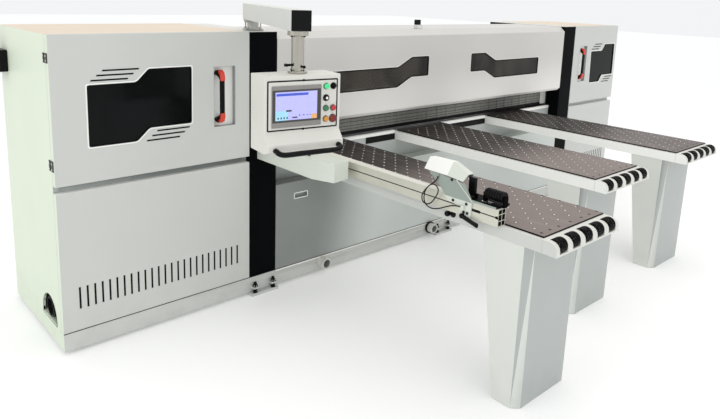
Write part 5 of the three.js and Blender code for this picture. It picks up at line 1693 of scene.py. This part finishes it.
@dataclass
class ConsoleArm:
    """Swinging arm with its pivot fitting, black end cap, and the post under it."""

    reach: float = 1158.0
    bottom: float = 1789.0
    size: float = 100.0
    post: Span = (1585.3, 1788.7)
    foot: Outline = ((0.0, 0.0), (0.0, 46.5), (1.5, 48.0), (10.5, 48.0), (12.0, 46.5),
                     (12.0, 33.0), (14.0, 31.0))
    head: Outline = ((-24.0, 31.0), (-22.0, 33.0), (-22.0, 49.5), (-20.5, 51.0), (-1.5, 51.0),
                     (0.0, 49.5), (0.0, 0.0))
    flanges: Sequence[tuple[float, Span]] = ((52, (1780.5, 1788.6)), (56, (1722.6, 1731.5)))
    bolt_half: float = 40.0
    bolt: Sequence[tuple[float, float, float, float, int]] = (
        (1737, 9.0, 9.0, 1.4, 6), (1775, 9.0, 9.0, 1.4, 6), (1756, 5.0, 50.0, 0.0, 14))
    wing: Sequence[Span] = ((-72, -56), (-16, 4), (1619, 1633))
    wing_rods: Sequence[Rod] = (
        (Axis.X, (-43, -6, 1626), 6.0, 26.0, 1.5, 20),
        (Axis.Y, (14, -36, 1618), 5.0, 16.0, 1.2, 16),
        (Axis.Y, (14, -42, 1618), 8.5, 8.0, 1.2, 6))
    screw_angles: Sequence[float] = (20, 110, 200, 290)
    screws: Sequence[tuple[float, float, float, float]] = (
        (40, 1600.0, 5.0, 6.0), (42, 1763.5, 6.0, 7.0))

    def dress_arm(self) -> None:
        """Arm, end cap and the plates and bolts of its pivot."""
        body = body_of("console_arm")
        # Top faces of the arm in the warmer paint: painted light.
        skin("console_arm", [Paint.BODY, Paint.WARM], 2.5, rules=[lambda way, at: way.z > 0.9])
        half = self.size / 2
        Shape(ARM).block((1 - half, half - 1), (-self.reach - 3, -self.reach + 1),
                         (self.bottom + 1, self.bottom + self.size - 1), 1.6).make(
            "arm_end_cap", Paint.PLASTIC, body)
        plates, bolts = Shape(ARM), Shape(ARM)
        for half, heights in self.flanges:
            plates.block((-half, half), (-half, half), heights, 1.5)
        span = (-self.bolt_half, self.bolt_half)
        for x, y in rectangle(span, span):
            for z, *sizes in self.bolt:
                bolts.rod(Axis.Z, (x, y, z), *sizes)
        plates.make("pivot_plates", Paint.STEEL, body)
        bolts.make("pivot_bolts", Paint.POST, body)

    def dress_post(self) -> None:
        """Bright post with flanges, a clamping lever and screws."""
        body = body_of("console_post")
        profile = [(end + along, radius) for end, part in zip(self.post, (self.foot, self.head))
                   for along, radius in part]
        Shape(CONSOLE).lathe(Axis.Z, (0, 0, 0), profile, 64).make(
            "post_tube", Paint.POST, body, ["console_post"])
        dark = Shape(CONSOLE).block(*self.wing, 3.0)
        for sizes in self.wing_rods:
            dark.rod(*sizes)
        for angle in (math.radians(v) for v in self.screw_angles):
            x, y = math.cos(angle), math.sin(angle)
            for circle, z, radius, length in self.screws:
                dark.rod(Axis.Z, (circle * x, circle * y, z), radius, length, 1.0, 14)
        dark.make("post_screws", Paint.PLASTIC, body)

    def build(self) -> None:
        """Dresses the arm and the post."""
        self.dress_arm()
        self.dress_post()


@dataclass
class Console:
    """Operator's console: sheet box, front plate, touch screen, controls and tube handle."""

    face: float = -85.0
    plate_x: Span = (-196.0, 177.0)
    plate_z: Span = (1326.0, 1561.0)
    screen_x: Span = (-176.0, 86.0)
    screen_z: Span = (1340.0, 1538.0)
    screen_depth: float = 6.0
    picture_x: Span = (-159.0, 62.0)
    picture_z: Span = (1375.0, 1510.0)
    slabs: Sequence[tuple[str, Span, Span, float, Finish]] = (
        ("ground", (0.0, 1.0), (0.0, 1.0), 1.0, Paint.PICTURE),
        ("title", (0.02, 0.78), (0.86, 0.95), 1.2, Paint.TITLE),
        ("left", (0.0, 0.3), (0.0, 0.34), 1.1, Paint.CYAN),
        ("right", (0.86, 1.0), (0.0, 0.17), 1.1, Paint.ORANGE))
    marks: Sequence[tuple[Span, Span]] = (
        ((0.25, 0.38), (0.3, 0.36)), ((0.4, 0.52), (0.06, 0.11)), ((0.05, 0.08), (0.05, 0.12)),
        ((0.12, 0.15), (0.05, 0.12)), ((0.19, 0.22), (0.05, 0.12)), ((0.26, 0.29), (0.05, 0.12)),
        ((0.56, 0.59), (0.13, 0.17)), ((0.66, 0.69), (0.13, 0.17)), ((0.75, 0.77), (0.13, 0.17)),
        ((0.82, 0.84), (0.13, 0.17)))
    columns: Span = (114.0, 154.0)
    rows: Sequence[float] = (1527.0, 1470.0, 1419.0, 1366.0)
    buttons: Sequence[tuple[str, int, int, Finish, Finish, float]] = (
        ("start", 0, 0, Paint.GREEN_LIT, Paint.GRAPHITE, 15.6),
        ("reset", 0, 1, Paint.EDGE, Paint.EDGE, 16.6),
        ("green", 0, 2, Paint.GREEN, Paint.GRAPHITE, 15.6),
        ("red", 1, 2, Paint.RED_CAP, Paint.GRAPHITE, 15.6),
        ("amber", 0, 3, Paint.AMBER, Paint.GRAPHITE, 15.6))
    # The button that gets a painted glint.
    spotted: str = "reset"
    stem: Outline = ((12.0, 0.0), (12.0, 7.9))
    cap: Outline = ((-4.3, 7.9), (-4.3, 12.2), (-5.2, 13.0), (-10.8, 13.0), (-12.2, 11.6),
                    (-12.0, 7.8), (-11.5, 0.0))
    disc: Outline = ((-11.0, 7.2), (-12.6, 6.4), (-12.9, 0.0))
    mushroom: Outline = ((-4.3, 7.9), (-4.3, 14.0), (-6.0, 17.4), (-8.4, 18.0), (-10.6, 17.0),
                         (-12.2, 13.0), (-12.3, 0.0))
    knob: Outline = ((-0.3, 7.9), (-0.3, 13.0), (-6.5, 13.0), (-8.3, 11.4), (-8.3, 0.0))
    handle_root: float = -124.3
    handle_reach: float = 42.0
    handle_radius: float = 13.0

    def dress_box(self) -> None:
        """Box, white plate and the black seal round it."""
        skin("console_box", Paint.WARM, 3.0, 3)
        skin("console_panel", Paint.WARM, 1.0)
        outline = grown(rectangle(self.plate_x, self.plate_z), 2.4)
        seal = Shape(CONSOLE).plate(
            Axis.Y, outline, self.face - 0.9, self.face + 3.0, 12.0, 0.0, 6.6)
        for z in self.plate_z:
            seal.rod(Axis.Y, (-9.0, self.face, z), 6.0, 2.2, 0.4, 20)
        seal.make("plate_seal", Paint.EDGE, body_of("console_box"))

    def dress_screen(self) -> None:
        """Screen frame with a dark border, and the lit picture as thin coloured slabs."""
        body = body_of("touch_screen")
        front = self.face - self.screen_depth
        (left, right), (low, high) = self.picture_x, self.picture_z
        Shape(CONSOLE).block(self.screen_x, (front, self.face - 0.3), self.screen_z, 2.0, 3).make(
            "screen_frame", Paint.BEZEL, body, ["touch_screen"])
        border = rectangle((left - 15, right + 20), (low - 10, high + 9))
        Shape(CONSOLE).plate(Axis.Y, border, front - 0.8, front + 0.2, 3.0, 0.3).make(
            "screen_border", Paint.GRAPHITE, body)

        def spans(x: Span, z: Span) -> tuple[Span, Span]:
            """Ends across and up of a slab that is given in shares of the picture."""
            return (tuple(left + share * (right - left) for share in x),
                    tuple(low + share * (high - low) for share in z))

        for name, x, z, depth, finish in self.slabs:
            across, up = spans(x, z)
            Shape(CONSOLE).block(across, (front - depth, front + 0.1), up).make(
                f"picture_{name}", finish, body)
        marks = Shape(CONSOLE)
        for x, z in self.marks:
            across, up = spans(x, z)
            marks.block(across, (front - 1.3, front), up)
        marks.make("picture_marks", Paint.GRAPHITE, body)

    def turned(self, x: float, z: float, profile: Outline, sides: int = 40,
               ring: bool = False) -> Shape:
        """Turned part of a control, counted from the console's face.

        Args:
            x: place of the control across the console.
            z: height of the control.
            profile: pairs of depth behind the face and radius.
            sides: faces round the control.
            ring: whether the profile closes on itself.

        Returns:
            The shape.
        """
        points = [(self.face + depth, radius) for depth, radius in profile]
        return Shape(CONSOLE).lathe(Axis.Y, (x, 0, z), points, sides, ring)

    def collar(self, name: str, x: float, z: float, finish: Finish, radius: float,
               bore: float = 13.5) -> None:
        """Collar round a control, on the plate.

        Args:
            name: name of the piece.
            x: place of the control across the console.
            z: height of the control.
            finish: finish of the collar.
            radius: outer radius.
            bore: inner radius.
        """
        profile = [(-3.4, bore), (-3.4, radius - 1.2), (-2.6, radius), (0.0, radius), (0.0, bore)]
        self.turned(x, z, profile, ring=True).make(name, finish, body_of("console_box"))

    def dress_controls(self) -> None:
        """Five push buttons, the mushroom button and the selector, each with its collar."""
        for word, column, row, finish, edge, radius in self.buttons:
            x, z, node = self.columns[column], self.rows[row], f"{word}_button"
            self.turned(x, z, (*self.stem, *self.cap)).make(
                f"{node}_cap", finish, body_of(node), [node])
            # A white disc on the black cap: a painted glint.
            if word == self.spotted:
                self.turned(x, z, self.disc, 28).make(
                    f"{node}_spot", Paint.SOCKET, body_of(node))
            self.collar(f"{word}_ring", x, z, edge, radius)
        x, low, top, f = self.columns[1], self.rows[3], self.rows[0], self.face
        self.turned(x, low, (*self.stem, *self.mushroom), 44).make(
            "emergency_cap", Paint.DARK_RED, body_of("emergency_stop"), ["emergency_stop"])
        self.collar("emergency_ring", x, low, Paint.PLASTIC, 20.6, 18.5)
        knob = self.turned(x, top, (*self.stem, *self.knob))
        knob.block((x - 3.4, x + 3.4), (f - 16.2, f - 7.0), (top - 12.6, top + 12.6), 1.6)
        knob.make("selector_grip", Paint.PLASTIC, body_of("selector_knob"), ["selector_knob"])
        self.collar("selector_ring", x, top, Paint.PLASTIC, 16.6)

    def dress_handle(self) -> None:
        """Black tube handle under the chin, on two plates."""
        root = self.handle_root
        bend, out = root - 31.5, root - self.handle_reach
        points = [(-172, root, 1240), (-172, root - 13, 1240), (-168.2, bend, 1233.5)]
        points += [(x, out, 1227) for x in (-140.5, -60, 0, 60, 134.5)]
        points += [(162.2, bend, 1233.5), (166, root - 13, 1240), (166, root, 1240)]
        Shape(CONSOLE).tube(points, self.handle_radius).make(
            "handle_tube", Paint.PLASTIC, body_of("console_handle"), ["console_handle"])

    def build(self) -> None:
        """Dresses the whole console."""
        self.dress_box()
        self.dress_screen()
        self.dress_controls()
        self.dress_handle()


@dataclass
class FeedTable:
    """Rear feed table with its sliding strips, the pusher and its grippers."""

    start: float = 760.3
    end: float = 4200.0
    lanes: Sequence[float] = (-1073.3, -536.7, 0.0, 536.7, 1073.3)
    strip_half: float = 15.0
    top: float = 925.0

    def build(self) -> None:
        """Dresses the feed table, pusher and grippers."""
        skin("rear_table", Paint.BODY, 2.0)
        strips = Shape()
        for x in self.lanes:
            strips.block((x - self.strip_half, x + self.strip_half),
                         (self.start + 6, self.end - 6), (self.top - 0.5, self.top + 3.4), 1.0)
        strips.make("lane_strips", Paint.PLASTIC)
        skin("pusher_gantry", Paint.BODY, 2.0)
        skin("gripper_jaws", Paint.DARK, 2.0)


def main() -> None:
    """Builds the studio and every sub-assembly in order."""
    logging.basicConfig(level=logging.INFO, format="%(message)s")
    for assembly in (
            Studio(), StopCable(), Plinth(), Portal(),
            Cabinet(Side.LEFT, -3065.0, -1905.0, (-2150.0, -2006.0),
                    (0.155, 0.382, 0.443, 0.666, 0.663, 0.443, 0.379, 0.154), 0.0),
            Cabinet(Side.RIGHT, 1905.0, 2785.0, (2030.0, 2165.0),
                    (0.394, 0.645, 0.709, 0.949, 0.96, 0.697, 0.638, 0.409), 30.0,
                    bar_length=150.0),
            DustOutlet(), MainSwitch(), BeamCover(), StripCurtain(), SawBed(), SawUnit(),
            # The left table's frame sides take the body grey as a painted shadow of the fence.
            AirTable("left", -1574.0, -1915.0, rail=Paint.BODY),
            AirTable("middle", -475.0, -1575.0), AirTable("right", 679.0, -1575.0),
            SideFence(), ConsoleArm(), Console(), FeedTable()):
        assembly.build()


if __name__ == "__main__":
    main()
